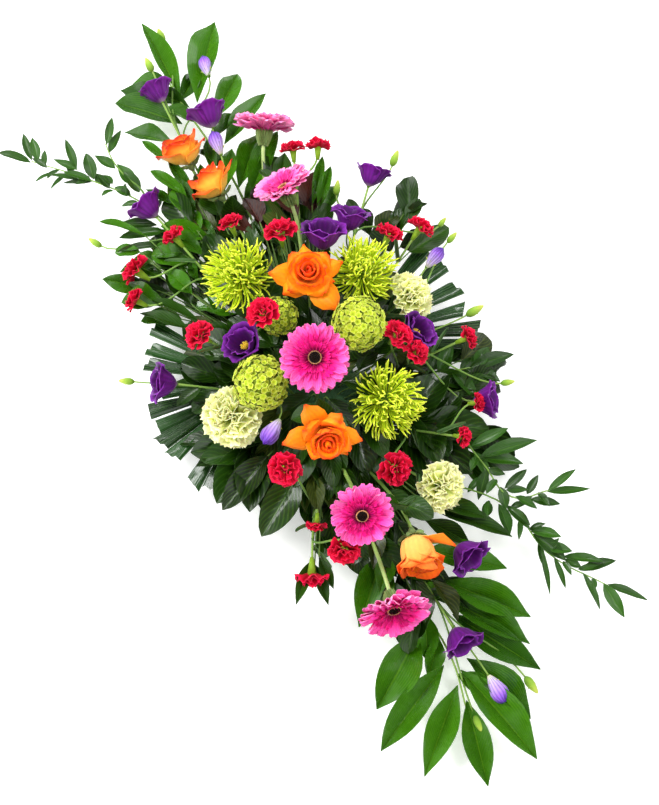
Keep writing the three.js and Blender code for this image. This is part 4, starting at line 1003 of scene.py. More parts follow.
frilly = [frilled(*shape) for shape in ((2.0, 0.18), (2.6, 0.2), (1.5, 0.24))]
carnation_finish = petal_finish(
    "carnation_petal", ((0, "b0c440"), (0.5, "dce684"), (0.85, "f2f2a8"), (1, "fafac6")), 4, 0.03, 0.65, 0.05,
)
cup_finish = petal_finish("carnation_cup", ((0, "88ac2a"), (0.6, "9aba32"), (1, "b6ca46")), streaks=5)
grassy = petal_finish("carnation_leaf", ((0, "4b7040"), (0.5, "6b8f58"), (1, "4b7040")), 4, 0.08, glow=0.04)
strap = leaf_kinds(
    "strap", lambda t: 0.9 - 0.88 * t ** 2.5, (-70, -40, -90), fold=0.4, wave=0.0, cells=(2, 8), thick=0.02,
)

for number, (at, across, faces) in enumerate(CARNATIONS, 1):
    name = f"carnation_{number}"
    face = facing(*faces)
    head = stand(Vector(at) * MM - face * across * CARNATION_HEIGHT * MM, face, number)
    across *= MM
    draw = random.Random(120 + number)
    bm = layered(bmesh.new())
    for count, lift, long, wide in CARNATION_TIERS:
        for i in range(count):
            angle = 2 * pi * (i + draw.uniform(-0.3, 0.3)) / count + lift
            size = across * long * draw.uniform(0.9, 1.0)
            place = spoke(
                angle, 1.5 * MM, 0, lift + draw.uniform(-6, 6), draw.uniform(-22, 22),
                (across * wide * draw.uniform(0.9, 1.1), size, size * 0.8),
            )
            set_in(bm, draw.choice(frilly), head @ place, draw.random())
    cone(bm, head, 4 * MM, 8 * MM, 17 * MM, -6 * MM, 14, 1)
    stalk(bm, CARNATION_STEMS[number - 1], CARNATION_STEM_RADIUS, 2, 0.95, 12)
    for root, tip in CARNATION_LEAVES[number - 1]:
        set_leaf(bm, strap, root, tip, STRAP_WIDTH, draw, 3, 3)
    bloom = as_piece(bm, f"{name}_bloom", carnation_finish, cup_finish, stem_finish, grassy)
    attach(bloom, "root")
    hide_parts(name)


# Spray carnations. Branched stems of small cerise-red blooms, each of ruffled tiers bursting
# from a long green tube with five teeth, and two narrow leaves.
SPRAY_CARNATIONS = {
    # middle and width across of each bloom
    "far": ((-318, 78, 150, 32), (-311, 111, 150, 33), (-189, 16, 205, 42)),
    "far_left": ((-260, -110, 130, 34), (-244, -173, 100, 42), (-204, -185, 95, 32), (-230, -39, 180, 33)),
    "left": ((-94, -127, 185, 39), (-78, -45, 228, 40)),
    "far_right": ((-163, 204, 130, 36), (-153, 155, 165, 36)),
    "right": ((2, 209, 120, 31), (22, 128, 185, 32), (-2, 111, 203, 40)),
    "near_right": ((133, 151, 135, 26), (93, 187, 125, 24), (157, 51, 172, 42)),
    "near": ((233, -89, 90, 42), (228, -43, 145, 39), (178, -63, 120, 26), (116, -83, 190, 42)),
}
SPRAY_STEMS = {
    "far": (
        ((-92, 21, 55), (-159, 38, 84), (-237, 58, 116), (-305, 75, 144)),
        ((-259, 63, 125), (-283, 69, 135), (-274, 97, 134), (-298, 106, 144)),
        ((-156, 37, 82), (-200, 48, 100), (-143, 12, 155), (-176, 15, 191)),
    ),
    "far_left": (
        ((-93, -35, 61), (-130, -52, 76), (-209, -87, 109), (-247, -104, 124)),
        ((-213, -89, 110), (-236, -99, 120), (-209, -145, 90), (-229, -161, 96)),
        ((-184, -76, 98), (-221, -92, 114), (-165, -144, 83), (-194, -175, 92)),
        ((-179, -74, 97), (-212, -88, 110), (-188, -32, 148), (-218, -37, 171)),
    ),
    "left": (
        ((-30, -33, 64), (-45, -55, 93), (-72, -95, 143), (-87, -117, 172)),
        ((-67, -87, 133), (-76, -100, 150), (-65, -37, 190), (-72, -42, 211)),
    ),
    "far_right": (
        ((-46, 35, 53), (-79, 83, 75), (-121, 143, 102), (-154, 191, 124)),
        ((-115, 134, 98), (-125, 148, 105), (-134, 133, 146), (-144, 145, 156)),
    ),
    "right": (
        ((1, 31, 50), (1, 91, 74), (1, 135, 91), (2, 196, 115)),
        ((1, 114, 83), (1, 135, 91), (18, 105, 156), (21, 119, 173)),
        ((1, 102, 78), (1, 123, 86), (-2, 90, 168), (-2, 102, 187)),
    ),
    "near_right": (
        ((43, 37, 58), (61, 60, 74), (108, 119, 114), (127, 143, 129)),
        ((111, 123, 116), (122, 138, 126), (81, 160, 112), (89, 178, 121)),
        ((83, 87, 92), (96, 104, 103), (128, 41, 142), (144, 47, 158)),
    ),
    "near": (
        ((91, -34, 56), (125, -47, 64), (175, -68, 92), (206, -79, 95)),
        ((180, -70, 89), (198, -74, 96), (193, -36, 125), (213, -40, 136)),
        ((150, -57, 77), (152, -57, 90), (150, -52, 122), (161, -56, 124)),
        ((128, -47, 69), (151, -57, 75), (93, -66, 153), (106, -76, 175)),
    ),
}
SPRAY_LEAVES = {
    # root and tip of each
    "far": (((-209, 51, 104), (-224, 94, 114)), ((-259, 63, 125), (-299, 44, 111))),
    "far_left": (((-179, -73, 96), (-217, -49, 106)), ((-217, -91, 112), (-236, -130, 97))),
    "left": (((-62, -80, 124), (-103, -73, 143)), ((-76, -100, 150), (-73, -146, 152))),
    "far_right": (((-106, 121, 92), (-89, 163, 101)), ((-131, 158, 109), (-174, 170, 94))),
    "right": (((1, 121, 85), (40, 146, 95)), ((2, 158, 100), (-26, 192, 86))),
    "near_right": (((90, 96, 98), (134, 91, 110)), ((111, 123, 116), (111, 168, 106))),
    "near": (((160, -61, 72), (171, -105, 78)), ((190, -72, 80), (230, -58, 60))),
}
# Two near ones hang over the edge and show their tubes
HANGING = {(233, -89, 90): Vector((0.93, -0.33, -0.16)), (178, -63, 120): Vector((0.91, -0.36, -0.2))}
# count, lift, and length and width as shares of the width across
SPRAY_TIERS = ((5, 22, 0.57, 0.62), (5, 42, 0.57, 0.56), (4, 62, 0.54, 0.5), (3, 80, 0.5, 0.4))
# Foot radius, and rim radius, depth and middle as shares of the width across
TUBE_FOOT, TUBE_RIM, TUBE_DEPTH, TUBE_MIDDLE = 2.4, 0.15, 0.52, -0.47
SPRAY_STEM_RADIUS, SPRAY_BRANCH_RADIUS = 1.7, 1.45


def outward(at):
    """The way that a small bloom faces: away from the middle of the foam, where all the stems meet."""
    heart = Vector((min(max(at[0] * 0.22, -74), 74), min(max(at[1] * 0.2, -18), 18), 45))
    return (Vector(at) - heart).normalized()


small_frilly = [frilled(*shape, 0.3, (8, 5)) for shape in ((1.6, 0.14), (2.4, 0.17), (1.2, 0.2))]
cerise_finish = petal_finish(
    "spray_carnation_petal", ((0, "70000c"), (0.5, "ae0020"), (0.85, "d00030"), (1, "ec184c")),
    4, 0.05, 0.6, 0.04,
)

for number, (where, blooms) in enumerate(SPRAY_CARNATIONS.items()):
    draw = random.Random(140 + number)
    bm = layered(bmesh.new())
    for *at, across in blooms:
        face = HANGING.get(tuple(at), outward(at)).normalized()
        head = stand(Vector(at) * MM, face, at[0])
        size = across * MM
        for count, lift, long, wide in SPRAY_TIERS:
            for i in range(count):
                angle = 2 * pi * (i + draw.uniform(-0.3, 0.3)) / count + lift
                reach = size * long * draw.uniform(0.86, 1.0)
                place = spoke(
                    angle, 1 * MM, -0.3 * size, lift + draw.uniform(-8, 8), draw.uniform(-25, 25),
                    (size * wide, reach, reach * 0.9),
                )
                set_in(bm, draw.choice(small_frilly), head @ place, draw.random())
        cone(bm, head, TUBE_FOOT * MM, size * TUBE_RIM, size * TUBE_DEPTH, TUBE_MIDDLE * size, 12, 1)
        for i in range(5):
            tooth = spoke(
                2 * pi * i / 5, size * 0.11, -0.22 * size, 62, 0, (size * 0.11, size * 0.16, size * 0.16),
            )
            set_in(bm, sepal, head @ tooth, 0.6, 1, 1)
    for i, route in enumerate(SPRAY_STEMS[where]):
        stalk(bm, route, SPRAY_BRANCH_RADIUS if i else SPRAY_STEM_RADIUS, 2, 0.9, 10)
    for root, tip in SPRAY_LEAVES[where]:
        set_leaf(bm, strap, root, tip, STRAP_WIDTH, draw, 3, 3)
    bloom = as_piece(bm, f"spray_carnation_{where}_blooms", cerise_finish, cup_finish, stem_finish, grassy)
    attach(bloom, "root")
    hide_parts(f"spray_carnation_{where}")


# Lisianthus. Branched stems with violet cups of nine broad silky petals, lilac half-open buds with a
# whitish foot, and slender green buds, each with five narrow sepals.
LISIANTHUS = {
    # middle and width across of each bloom; the narrow ones are half open
    "far": ((-497, -60, 85, 41), (-435, -7, 100, 48), (-511, 17, 70, 25), (-371, -11, 115, 27)),
    "far_left": ((-328, -130, 105, 45),),
    "far_right": ((-260, 171, 130, 41), (-189, 114, 180, 43), (-171, 69, 200, 50)),
    "right": ((-11, 145, 170, 45), (-112, 201, 130, 26), (89, 208, 105, 43)),
    "left": ((-77, -192, 110, 45), (57, -79, 170, 31), (-58, -80, 201, 46)),
    "near": ((373, 62, 85, 46), (278, 106, 110, 46), (431, 84, 60, 32)),
}
LISIANTHUS_BUDS = {
    # tip and length of each
    "far": ((-599, -24, 45, 18), (-543, -57, 75, 18)),
    "far_left": ((-310, -209, 75, 16),),
    "far_right": ((-276, 209, 115, 18), (-167, 236, 110, 12), (-254, 118, 130, 16)),
    "right": ((-36, 236, 105, 20), (-142, 241, 110, 14), (70, 240, 95, 14)),
    "left": ((-102, -231, 85, 16),),
    "near": ((468, 51, 40, 20), (444, 130, 45, 20)),
}
LISIANTHUS_STEMS = {
    "far": (
        ((-89, -8, 46), (-199, -22, 57), (-366, -45, 73), (-476, -58, 83)),
        ((-316, -38, 68), (-357, -43, 72), (-369, -6, 90), (-410, -7, 96)),
        ((-396, -48, 75), (-447, -54, 80), (-447, 15, 66), (-498, 17, 69)),
        ((-264, -31, 63), (-310, -37, 67), (-312, -9, 101), (-357, -11, 112)),
        ((-396, -48, 75), (-488, -60, 84), (-490, -20, 45), (-583, -23, 45)),
        ((-396, -48, 75), (-427, -52, 78), (-496, -52, 72), (-527, -55, 74)),
    ),
    "far_left": (
        ((-92, -28, 51), (-175, -64, 70), (-224, -84, 81), (-307, -121, 100)),
        ((-256, -99, 88), (-288, -112, 96), (-272, -179, 70), (-299, -200, 74)),
    ),
    "far_right": (
        ((-84, 40, 57), (-139, 81, 80), (-189, 118, 100), (-244, 159, 123)),
        ((-157, 94, 87), (-187, 116, 100), (-148, 87, 143), (-174, 104, 166)),
        ((-132, 76, 77), (-162, 98, 90), (-130, 52, 152), (-155, 62, 181)),
        ((-208, 132, 108), (-230, 148, 117), (-244, 180, 104), (-264, 199, 111)),
        ((-188, 117, 100), (-216, 138, 111), (-144, 197, 98), (-162, 227, 107)),
        ((-188, 117, 100), (-201, 127, 105), (-229, 105, 119), (-242, 112, 125)),
    ),
    "right": (
        ((-3, 36, 63), (-6, 70, 96), (-8, 95, 121), (-10, 128, 154)),
        ((-8, 98, 124), (-10, 123, 148), (-93, 160, 111), (-107, 190, 125)),
        ((-8, 107, 133), (-11, 144, 169), (65, 142, 84), (82, 188, 99)),
        ((-8, 107, 133), (-10, 130, 156), (-30, 188, 92), (-34, 219, 100)),
        ((-8, 105, 131), (-10, 134, 159), (-119, 195, 97), (-137, 230, 107)),
        ((-8, 107, 133), (-10, 136, 161), (58, 190, 84), (67, 228, 92)),
    ),
    "left": (
        ((-20, -32, 50), (-36, -75, 66), (-55, -128, 86), (-70, -171, 102)),
        ((-35, -73, 65), (-20, -70, 120), (24, -44, 168), (43, -64, 170)),
        ((-36, -77, 67), (-54, -126, 85), (-38, -51, 131), (-52, -71, 180)),
        ((-59, -141, 91), (-66, -161, 98), (-89, -197, 79), (-97, -218, 83)),
    ),
    "near": (
        ((90, 14, 47), (167, 27, 57), (272, 45, 71), (350, 58, 82)),
        ((207, 34, 63), (236, 39, 67), (230, 87, 96), (257, 97, 104)),
        ((295, 49, 75), (320, 53, 78), (390, 76, 58), (415, 81, 59)),
        ((295, 49, 75), (337, 56, 80), (407, 45, 41), (450, 49, 40)),
        ((295, 49, 75), (362, 60, 84), (361, 105, 45), (427, 125, 45)),
    ),
}
LISIANTHUS_LEAVES = {
    # root and tip of each
    "far": (((-283, -33, 65), (-313, -5, 67)), ((-385, -47, 74), (-410, -73, 56))),
    "far_left": (((-199, -74, 75), (-236, -55, 81)), ((-250, -96, 87), (-269, -130, 71))),
    "far_right": (((-164, 99, 90), (-166, 140, 99)), ((-204, 129, 106), (-243, 129, 95))),
    "right": (((-7, 82, 108), (24, 104, 127)), ((-8, 105, 130), (-34, 137, 134))),
    "left": (((-45, -101, 76), (-83, -114, 85)), ((-58, -137, 90), (-47, -175, 78))),
    "near": (((220, 36, 64), (251, 9, 68)), ((287, 48, 74), (312, 76, 56))),
}
OVAL_WIDTH, HALF_OPEN, SPREAD_OUT, BUD_FULLNESS = 18, 33, 1.12, 1.3
LISIANTHUS_STEM_RADIUS, LISIANTHUS_BRANCH_RADIUS = 1.7, 1.3
# The half-open bud between the near rose and the viburnum nods over the edge
NODDING = {(57, -79, 170): Vector((0.62, -0.72, 0.14)).normalized()}
CUP_RINGS = (
    # count, profile of (out, up) points, half the wrap in degrees, roll
    (5, ((0.03, -0.56), (0.17, -0.47), (0.28, -0.34), (0.36, -0.16), (0.44, -0.02), (0.51, 0.03)), 50, 0.04),
    (4, ((0.02, -0.52), (0.13, -0.43), (0.22, -0.3), (0.28, -0.14), (0.31, 0.0), (0.34, 0.05)), 58, 0.03),
)
BUD_RINGS = (
    (4, ((0.03, -0.6), (0.14, -0.42), (0.24, -0.16), (0.32, 0.12), (0.28, 0.36), (0.12, 0.5)), 62, 0.0),
    (3, ((0.02, -0.56), (0.11, -0.4), (0.2, -0.14), (0.25, 0.12), (0.2, 0.36), (0.04, 0.56)), 80, 0.0),
)

violet_inside = petal_finish(
    "lisianthus_inside", ((0, "1a0220"), (0.3, "30023e"), (0.8, "4c0662"), (1, "701c8e")),
    5, 0.1, 0.45, 0.04, 0.04,
)
violet_outside = petal_finish(
    "lisianthus_outside", ((0, "907a90"), (0.2, "5a1a70"), (0.8, "5c0c72"), (1, "802a9c")),
    5, 0.14, 0.45, 0.04, 0.04,
)
lilac_finish = petal_finish(
    "lisianthus_bud_petal", ((0, "c8cc94"), (0.3, "bca8d8"), (0.7, "8a5cc4"), (1, "4e2296")),
    5, 0.3, 0.5, 0.12, 0.06,
)
green_bud = petal_finish(
    "lisianthus_green_bud", ((0, "5c8424"), (0.5, "86a838"), (1, "b8bc54")), 3, 0.06, 0.5, 0.05,
)
stamen_finish = petal_finish("stamen", ((0, "b8a030"), (1, "f0d048")), 1, 0.0, 0.6)
oval = leaf_kinds("oval", leaf_outline(0.4, 0.1), (-35, -20, -55), cells=(4, 6), thick=0.014)
narrow = strap[1][0]

# A slender closed bud of length one along +Z: a ball drawn out and pointed
bm = layered(bmesh.new())
bmesh.ops.create_uvsphere(bm, u_segments=8, v_segments=8, radius=0.5)
along = bm.verts.layers.float["along"]
for v in bm.verts:
    v[along] = v.co.z + 0.5
    slim = 0.3 * (1 - 0.55 * v[along]) * 2
    v.co = (v.co.x * slim, v.co.y * slim, v[along])
closed_bud = kept("closed_bud", bm)

for number, (where, blooms) in enumerate(LISIANTHUS.items()):
    draw = random.Random(170 + number)
    bm = layered(bmesh.new())
    for *at, across in blooms:
        half_open = across < HALF_OPEN
        head = stand(Vector(at) * MM, NODDING.get(tuple(at)) or outward(at), at[0])
        size = across * MM * SPREAD_OUT
        for ring, (count, profile, wrap, roll) in enumerate(BUD_RINGS if half_open else CUP_RINGS):
            for i in range(count):
                bent = [
                    (out * draw.uniform(0.94, 1.03), up * draw.uniform(0.97, 1.03)) for out, up in profile
                ]
                wrap_petal(
                    bm, head, size, lambda t: radians(wrap) * (1.0 - 0.25 * eased(0.7, 1, t)), bent, roll,
                    draw.uniform(0.06, 0.16), 0.0 if half_open else draw.uniform(-0.06, 0.06),
                    2 * pi * (i + draw.uniform(-0.1, 0.1)) / count + 0.8 * ring, draw.random(),
                    (2, 2) if half_open else (0, 1), (8, 7), 0.014,
                )
        if not half_open:
            for i in range(7):
                place = spoke(
                    2 * pi * i / 7, 0.02 * size, -0.48 * size, 76, 0, (0.05 * size, 0.34 * size, 0.34 * size),
                )
                set_in(bm, nib, head @ place, 0.9, 3, 3)
        for i in range(5):
            lift = 74 if half_open else 62
            place = spoke(2 * pi * i / 5, 0.05 * size, -0.57 * size, lift, 0, (2 * MM, 13 * MM, 13 * MM))
            set_in(bm, narrow, head @ place, 0.5, 4, 4)
        finished(bmesh.ops.create_uvsphere(
            bm, u_segments=8, v_segments=5, radius=2.6 * MM,
            matrix=head @ Matrix.Translation((0, 0, -0.56 * size)),
        ), 4)
    for *at, long in LISIANTHUS_BUDS[where]:
        face = outward(at)
        foot = stand(Vector(at) * MM - face * long * MM, face)
        size = long * MM * BUD_FULLNESS
        set_in(bm, closed_bud, foot @ Matrix.Scale(size, 4), 0.6, 4, 4)
        for i in range(5):
            place = spoke(2 * pi * i / 5, 0.09 * size, 0, 88, 0, (1.8 * MM, 0.62 * size, 0.4 * size))
            set_in(bm, narrow, foot @ place, 0.4, 4, 4)
    for i, route in enumerate(LISIANTHUS_STEMS[where]):
        stalk(bm, route, LISIANTHUS_BRANCH_RADIUS if i else LISIANTHUS_STEM_RADIUS, 5, 0.85, 10)
    for root, tip in LISIANTHUS_LEAVES[where]:
        set_leaf(bm, oval, root, tip, OVAL_WIDTH, draw, 6, 7)
    bloom = as_piece(
        bm, f"lisianthus_{where}_blooms", violet_inside, violet_outside, lilac_finish, stamen_finish,
        green_bud, stem_finish, dark_leaf, dark_underside,
    )
    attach(bloom, "root")
    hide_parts(f"lisianthus_{where}")


# Foliage. Ruscus with large glossy parallel-veined leaves at both ends, soft ruscus with small
# leaves on arching sprigs at the corners, and broad dark salal leaves low between the blooms.
SPRIG_STEMS = {
    # the routes of its twigs
    "ruscus_far": (((-89, -5, 49), (-300, 0, 77), (-400, -15, 65), (-480, -31, 53), (-555, -41, 43)),),
    "ruscus_near": (((89, 4, 51), (220, 10, 81), (300, 33, 51), (375, 46, 49), (440, 42, 37)),),
    "soft_ruscus_far_left": (
        ((-95, -28, 50), (-200, -78, 80), (-335, -125, 72), (-387, -183, 88), (-444, -251, 84)),
        ((-330, -122, 73), (-352, -124, 84), (-380, -140, 90), (-404, -148, 93), (-430, -150, 95)),
    ),
    "soft_ruscus_near_right": (
        ((95, 38, 56), (150, 92, 84), (223, 180, 78), (290, 206, 64), (351, 266, 44)),
    ),
    "soft_ruscus_right": (((52, 31, 50), (72, 130, 86), (158, 166, 92), (213, 185, 90), (220, 233, 88)),),
    "soft_ruscus_middle_right": (((8, 30, 48), (12, 130, 74), (26, 180, 80), (34, 218, 84)),),
    "salal_left": (((14, -32, 53), (18, -76, 76), (40, -105, 84), (60, -128, 86)),),
    "salal_right": (((33, 35, 55), (60, 78, 80), (84, 112, 90), (100, 140, 92)),),
}
SPRIG_LEAVES = {
    # root, tip and width of each
    "ruscus_far": (
        ((-487, -28, 51), (-622, -45, 30), 27), ((-469, -10, 56), (-590, 56, 30), 40),
        ((-434, 4, 60), (-497, 57, 42), 29), ((-481, -45, 54), (-533, -102, 34), 28),
        ((-442, -40, 60), (-510, -118, 38), 36), ((-417, -60, 62), (-462, -118, 46), 24),
        ((-392, 4, 63), (-452, 84, 50), 28), ((-318, 0, 74), (-388, 56, 62), 30),
        ((-297, 8, 77), (-380, 80, 66), 28), ((-466, -22, 54), (-516, -62, 46), 20),
    ),
    "ruscus_near": (
        ((427, 46, 39), (533, 36, 13), 33), ((390, 52, 45), (528, 102, 16), 40),
        ((406, 42, 42), (495, -34, 16), 36), ((378, 34, 46), (453, -79, 20), 36),
        ((330, 18, 49), (401, -66, 28), 46), ((379, 64, 46), (478, 112, 22), 36),
        ((322, 66, 54), (420, 148, 30), 38), ((292, 56, 58), (390, 144, 40), 36),
        ((280, 70, 62), (358, 158, 46), 38), ((222, 10, 76), (298, -50, 52), 46),
        ((309, 34, 56), (367, 18, 40), 30), ((236, 60, 72), (292, 150, 62), 36),
    ),
    "soft_ruscus_far_left": (
        ((-442, -252, 84), (-470, -292, 80), 12), ((-445, -250, 84), (-485, -249, 88), 11),
        ((-441, -242, 85), (-474, -240, 90), 13), ((-426, -234, 86), (-448, -249, 82), 9),
        ((-410, -197, 89), (-454, -199, 96), 11), ((-408, -196, 89), (-434, -223, 92), 10),
        ((-388, -180, 88), (-426, -179, 96), 16), ((-392, -148, 91), (-419, -169, 95), 13),
        ((-395, -199, 88), (-412, -236, 90), 7), ((-387, -183, 88), (-407, -219, 94), 10),
        ((-415, -222, 87), (-411, -256, 78), 6), ((-407, -213, 88), (-399, -238, 74), 6),
        ((-385, -183, 88), (-398, -221, 82), 7), ((-370, -164, 84), (-394, -175, 90), 12),
        ((-374, -158, 86), (-389, -167, 90), 9), ((-362, -130, 86), (-398, -144, 92), 17),
        ((-352, -128, 82), (-386, -141, 88), 17), ((-354, -140, 78), (-372, -158, 78), 12),
        ((-428, -149, 95), (-464, -130, 96), 11), ((-416, -149, 94), (-443, -124, 96), 12),
        ((-303, -120, 73), (-318, -172, 84), 15), ((-290, -112, 75), (-300, -178, 70), 14),
        ((-262, -102, 77), (-272, -190, 76), 12), ((-228, -90, 79), (-240, -150, 84), 15),
    ),
    "soft_ruscus_near_right": (
        ((213, 168, 79), (252, 169, 62), 15), ((258, 194, 71), (278, 229, 66), 14),
        ((281, 204, 66), (300, 237, 62), 13), ((262, 196, 70), (308, 224, 60), 18),
        ((272, 200, 68), (340, 189, 46), 7), ((296, 212, 62), (340, 212, 46), 7),
        ((300, 222, 60), (327, 271, 52), 11), ((304, 224, 60), (321, 241, 56), 10),
        ((323, 238, 54), (328, 288, 50), 13), ((347, 261, 46), (396, 271, 38), 16),
        ((349, 266, 44), (384, 310, 36), 11), ((326, 240, 53), (381, 241, 40), 8),
        ((218, 176, 79), (262, 193, 74), 11), ((223, 180, 79), (256, 196, 78), 10),
        ((206, 158, 80), (223, 145, 72), 13),
    ),
    "soft_ruscus_right": (
        ((133, 160, 91), (129, 216, 98), 14), ((151, 165, 92), (158, 242, 96), 18),
        ((152, 164, 92), (181, 216, 84), 15), ((200, 180, 91), (185, 217, 92), 11),
        ((220, 231, 88), (207, 275, 92), 10), ((221, 230, 88), (234, 286, 82), 10),
        ((223, 206, 89), (240, 241, 80), 11), ((142, 162, 91), (179, 167, 82), 13),
        ((196, 176, 91), (225, 173, 80), 13), ((169, 168, 92), (200, 145, 80), 14),
        ((222, 196, 90), (221, 210, 90), 6),
    ),
    "soft_ruscus_middle_right": (
        ((30, 198, 82), (35, 262, 82), 17), ((32, 206, 83), (12, 232, 86), 17),
        ((31, 204, 83), (62, 228, 88), 17), ((25, 176, 80), (80, 190, 88), 17),
        ((20, 160, 78), (-10, 190, 84), 17),
    ),
    "salal_left": (
        ((38, -103, 84), (92, -168, 72), 44), ((19, -77, 76), (152, -106, 66), 44),
        ((33, -97, 82), (124, -134, 92), 44), ((33, -97, 82), (20, -178, 84), 44),
        ((23, -85, 79), (100, -76, 96), 43),
    ),
    "salal_right": (
        ((84, 112, 90), (121, 189, 98), 44), ((78, 103, 88), (168, 150, 84), 44),
        ((72, 95, 86), (36, 168, 100), 44), ((67, 89, 84), (175, 103, 85), 44),
        ((81, 107, 89), (149, 110, 109), 39),
    ),
}

ruscus_leaf = leaf_finish("ruscus_leaf", "1c4a02", "407c08", "6ca020", 9, 0, 0.24, 0.5)
ruscus_underside = leaf_finish("ruscus_underside", "40701c", "6a9434", "90b450", 9, 0, 0.5, 0.0)
soft_leaf = leaf_finish("soft_ruscus_leaf", "143204", "2c5c0a", "50821c", 6, 0, 0.3, 0.2)
soft_underside = leaf_finish("soft_ruscus_underside", "386222", "5c8434", "7c9e4c", 6, 0, 0.5, 0.0)
salal_leaf = leaf_finish("salal_leaf", "0a1c02", "1e4006", "3e6612", 7, 3, 0.28, 0.2)
lance = leaf_kinds(
    "lance", leaf_outline(0.44, -0.25, 1.15), (-18, -34, -8), fold=0.3, wave=0.06, cells=(8, 12), thick=0.006,
)
willow = leaf_kinds(
    "willow", leaf_outline(0.4, -0.1), (-20, -40, 10), fold=0.2, wave=0.04, cells=(4, 7), thick=0.012,
)
broad = leaf_kinds(
    "broad", leaf_outline(0.45, 0.15), (-14, -30, -4), fold=0.22, wave=0.07, cells=(6, 10), thick=0.007,
)
LEAF_BREADTH, TWIG_RADIUS, THIN_TWIG_RADIUS, SLACK = 1.08, 2, 1.5, 25
# count, shortest and longest leaf, breadth, spread of the headings and where along the stem they start
MORE_LEAVES = {
    "ruscus_far": (7, 46, 66, 24, (35, 70), 0.12), "ruscus_near": (5, 46, 60, 26, (35, 70), 0.1),
    "soft_ruscus_far_left": (12, 18, 30, 9, (30, 75), 0.3),
    "soft_ruscus_near_right": (12, 18, 30, 9, (30, 75), 0.25),
    "soft_ruscus_right": (10, 20, 32, 11, (30, 75), 0.25),
    "soft_ruscus_middle_right": (10, 24, 38, 13, (30, 80), 0.3),
    "salal_left": (5, 50, 66, 36, (30, 70), 0.3), "salal_right": (5, 50, 66, 36, (30, 70), 0.3),
}
sprig_looks = {
    "ruscus": (lance, ruscus_leaf, ruscus_underside, "ruscus_leaves"),
    "soft": (willow, soft_leaf, soft_underside, "soft_ruscus_leaves"),
    "salal": (broad, salal_leaf, dark_underside, "salal_leaves"),
}

for number, (name, routes) in enumerate(SPRIG_STEMS.items()):
    kinds, upper, lower, slot_name = sprig_looks[name.split("_")[0]]
    draw = random.Random(200 + number)
    bm = layered(bmesh.new())
    for route in routes:
        stalk(bm, route, THIN_TWIG_RADIUS if kinds is willow else TWIG_RADIUS, 0, 0.55, 6)
    for root, tip, wide in SPRIG_LEAVES[name]:
        set_leaf(bm, kinds, root, tip, wide * LEAF_BREADTH, draw, 1, 2)
    count, short, long, wide, spread, first = MORE_LEAVES[name]
    for i in range(count):
        share = (first + (1 - first) * i / count) * (len(routes[0]) - 1)
        knot = min(int(share), len(routes[0]) - 2)
        before, after = Vector(routes[0][knot]), Vector(routes[0][knot + 1])
        root = before.lerp(after, share - knot)
        turn = Matrix.Rotation(radians(draw.uniform(*spread)) * (-1) ** i, 3, "Z")
        heading = turn @ (after - before).normalized()
        heading.z = draw.uniform(-0.3, 0.35)
        tip = root + heading.normalized() * draw.uniform(short, long)
        set_leaf(bm, kinds, root, tip, wide, draw, 1, 2, SLACK)
    sprig = as_piece(bm, f"{name}_sprig", stem_finish, upper, lower)
    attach(sprig, "root")
    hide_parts(name)


# Tucked greens. Single broad and lance-shaped leaves with a wired stalk, pushed into the foam all round
# and between the blooms until neither foam nor tray shows. Two small groups at the far end are bronze.
PATCHES = (
    # count, middle and reach of each patch of leaves
    (190, (-20, 0, 132), (215, 150)), (26, (-250, -60, 100), (70, 50)), (22, (-235, 40, 115), (60, 55)),
    (22, (60, 170, 85), (90, 45)), (24, (170, 0, 88), (60, 60)), (16, (-180, 170, 98), (50, 40)),
    (20, (-205, -118, 88), (55, 45)), (16, (262, 30, 78), (50, 55)),
)
BRONZE_SPOTS, BRONZE_REACH = (Vector((-258, 14)), Vector((-245, 84))), 34
# Where the palm fans and the white ground show between the greens: plan position and radius
BARE_SPOTS = (
    (62, -160, 24), (90, -138, 24), (126, -137, 22), (156, -98, 22), (181, -86, 20), (97, 226, 26),
    (130, 229, 26), (-187, 227, 24), (-181, 201, 20), (-229, 176, 22), (158, 178, 18), (-226, 247, 26),
)
# Single leaves that stand out at the edge: root, tip, width, and whether it is broad
EDGE_LEAVES = (
    ((62, -88, 100), (107, -164, 84), 36, True), ((98, -59, 100), (155, -129, 82), 44, True),
    ((-184, 190, 100), (-212, 219, 96), 21, True), ((-197, 191, 98), (-200, 228, 94), 11, False),
    ((-233, 83, 110), (-291, 122, 104), 16, False), ((-233, 89, 100), (-268, 124, 92), 20, False),
    ((-244, 79, 112), (-308, 115, 106), 14, False), ((189, 81, 92), (258, 169, 70), 27, False),
    ((184, 85, 96), (229, 145, 84), 22, False), ((205, 71, 90), (250, 116, 74), 24, False),
    ((-283, -141, 95), (-321, -196, 88), 12, False), ((-264, -154, 92), (-276, -186, 86), 20, True),
    ((-246, -146, 92), (-248, -188, 84), 15, False), ((-139, -126, 88), (-187, -181, 70), 18, False),
    ((-144, -111, 90), (-195, -164, 76), 15, False), ((-321, -69, 92), (-375, -106, 84), 16, False),
    ((-312, -61, 92), (-386, -77, 80), 16, False), ((-311, -86, 92), (-352, -119, 84), 13, False),
    ((-380, -76, 82), (-428, -101, 70), 12, False), ((-339, -26, 90), (-396, -20, 78), 17, False),
    ((-315, -46, 88), (-365, -39, 80), 15, False), ((-315, -20, 88), (-374, 9, 76), 22, False),
    ((206, -80, 88), (253, -117, 80), 17, False), ((212, -78, 88), (266, -79, 80), 17, False),
    ((206, -70, 92), (250, -66, 84), 15, False),
)
GREENS_FALL, TRIES, STALK_RADIUS, UNDERSIDE = 74, 8, 1.1, 3
# Kinds, face finish and width of the tucked leaves, in turn
TUCKED = ((broad, 1, 36), (lance, 0, 26), (broad, 0, 31))

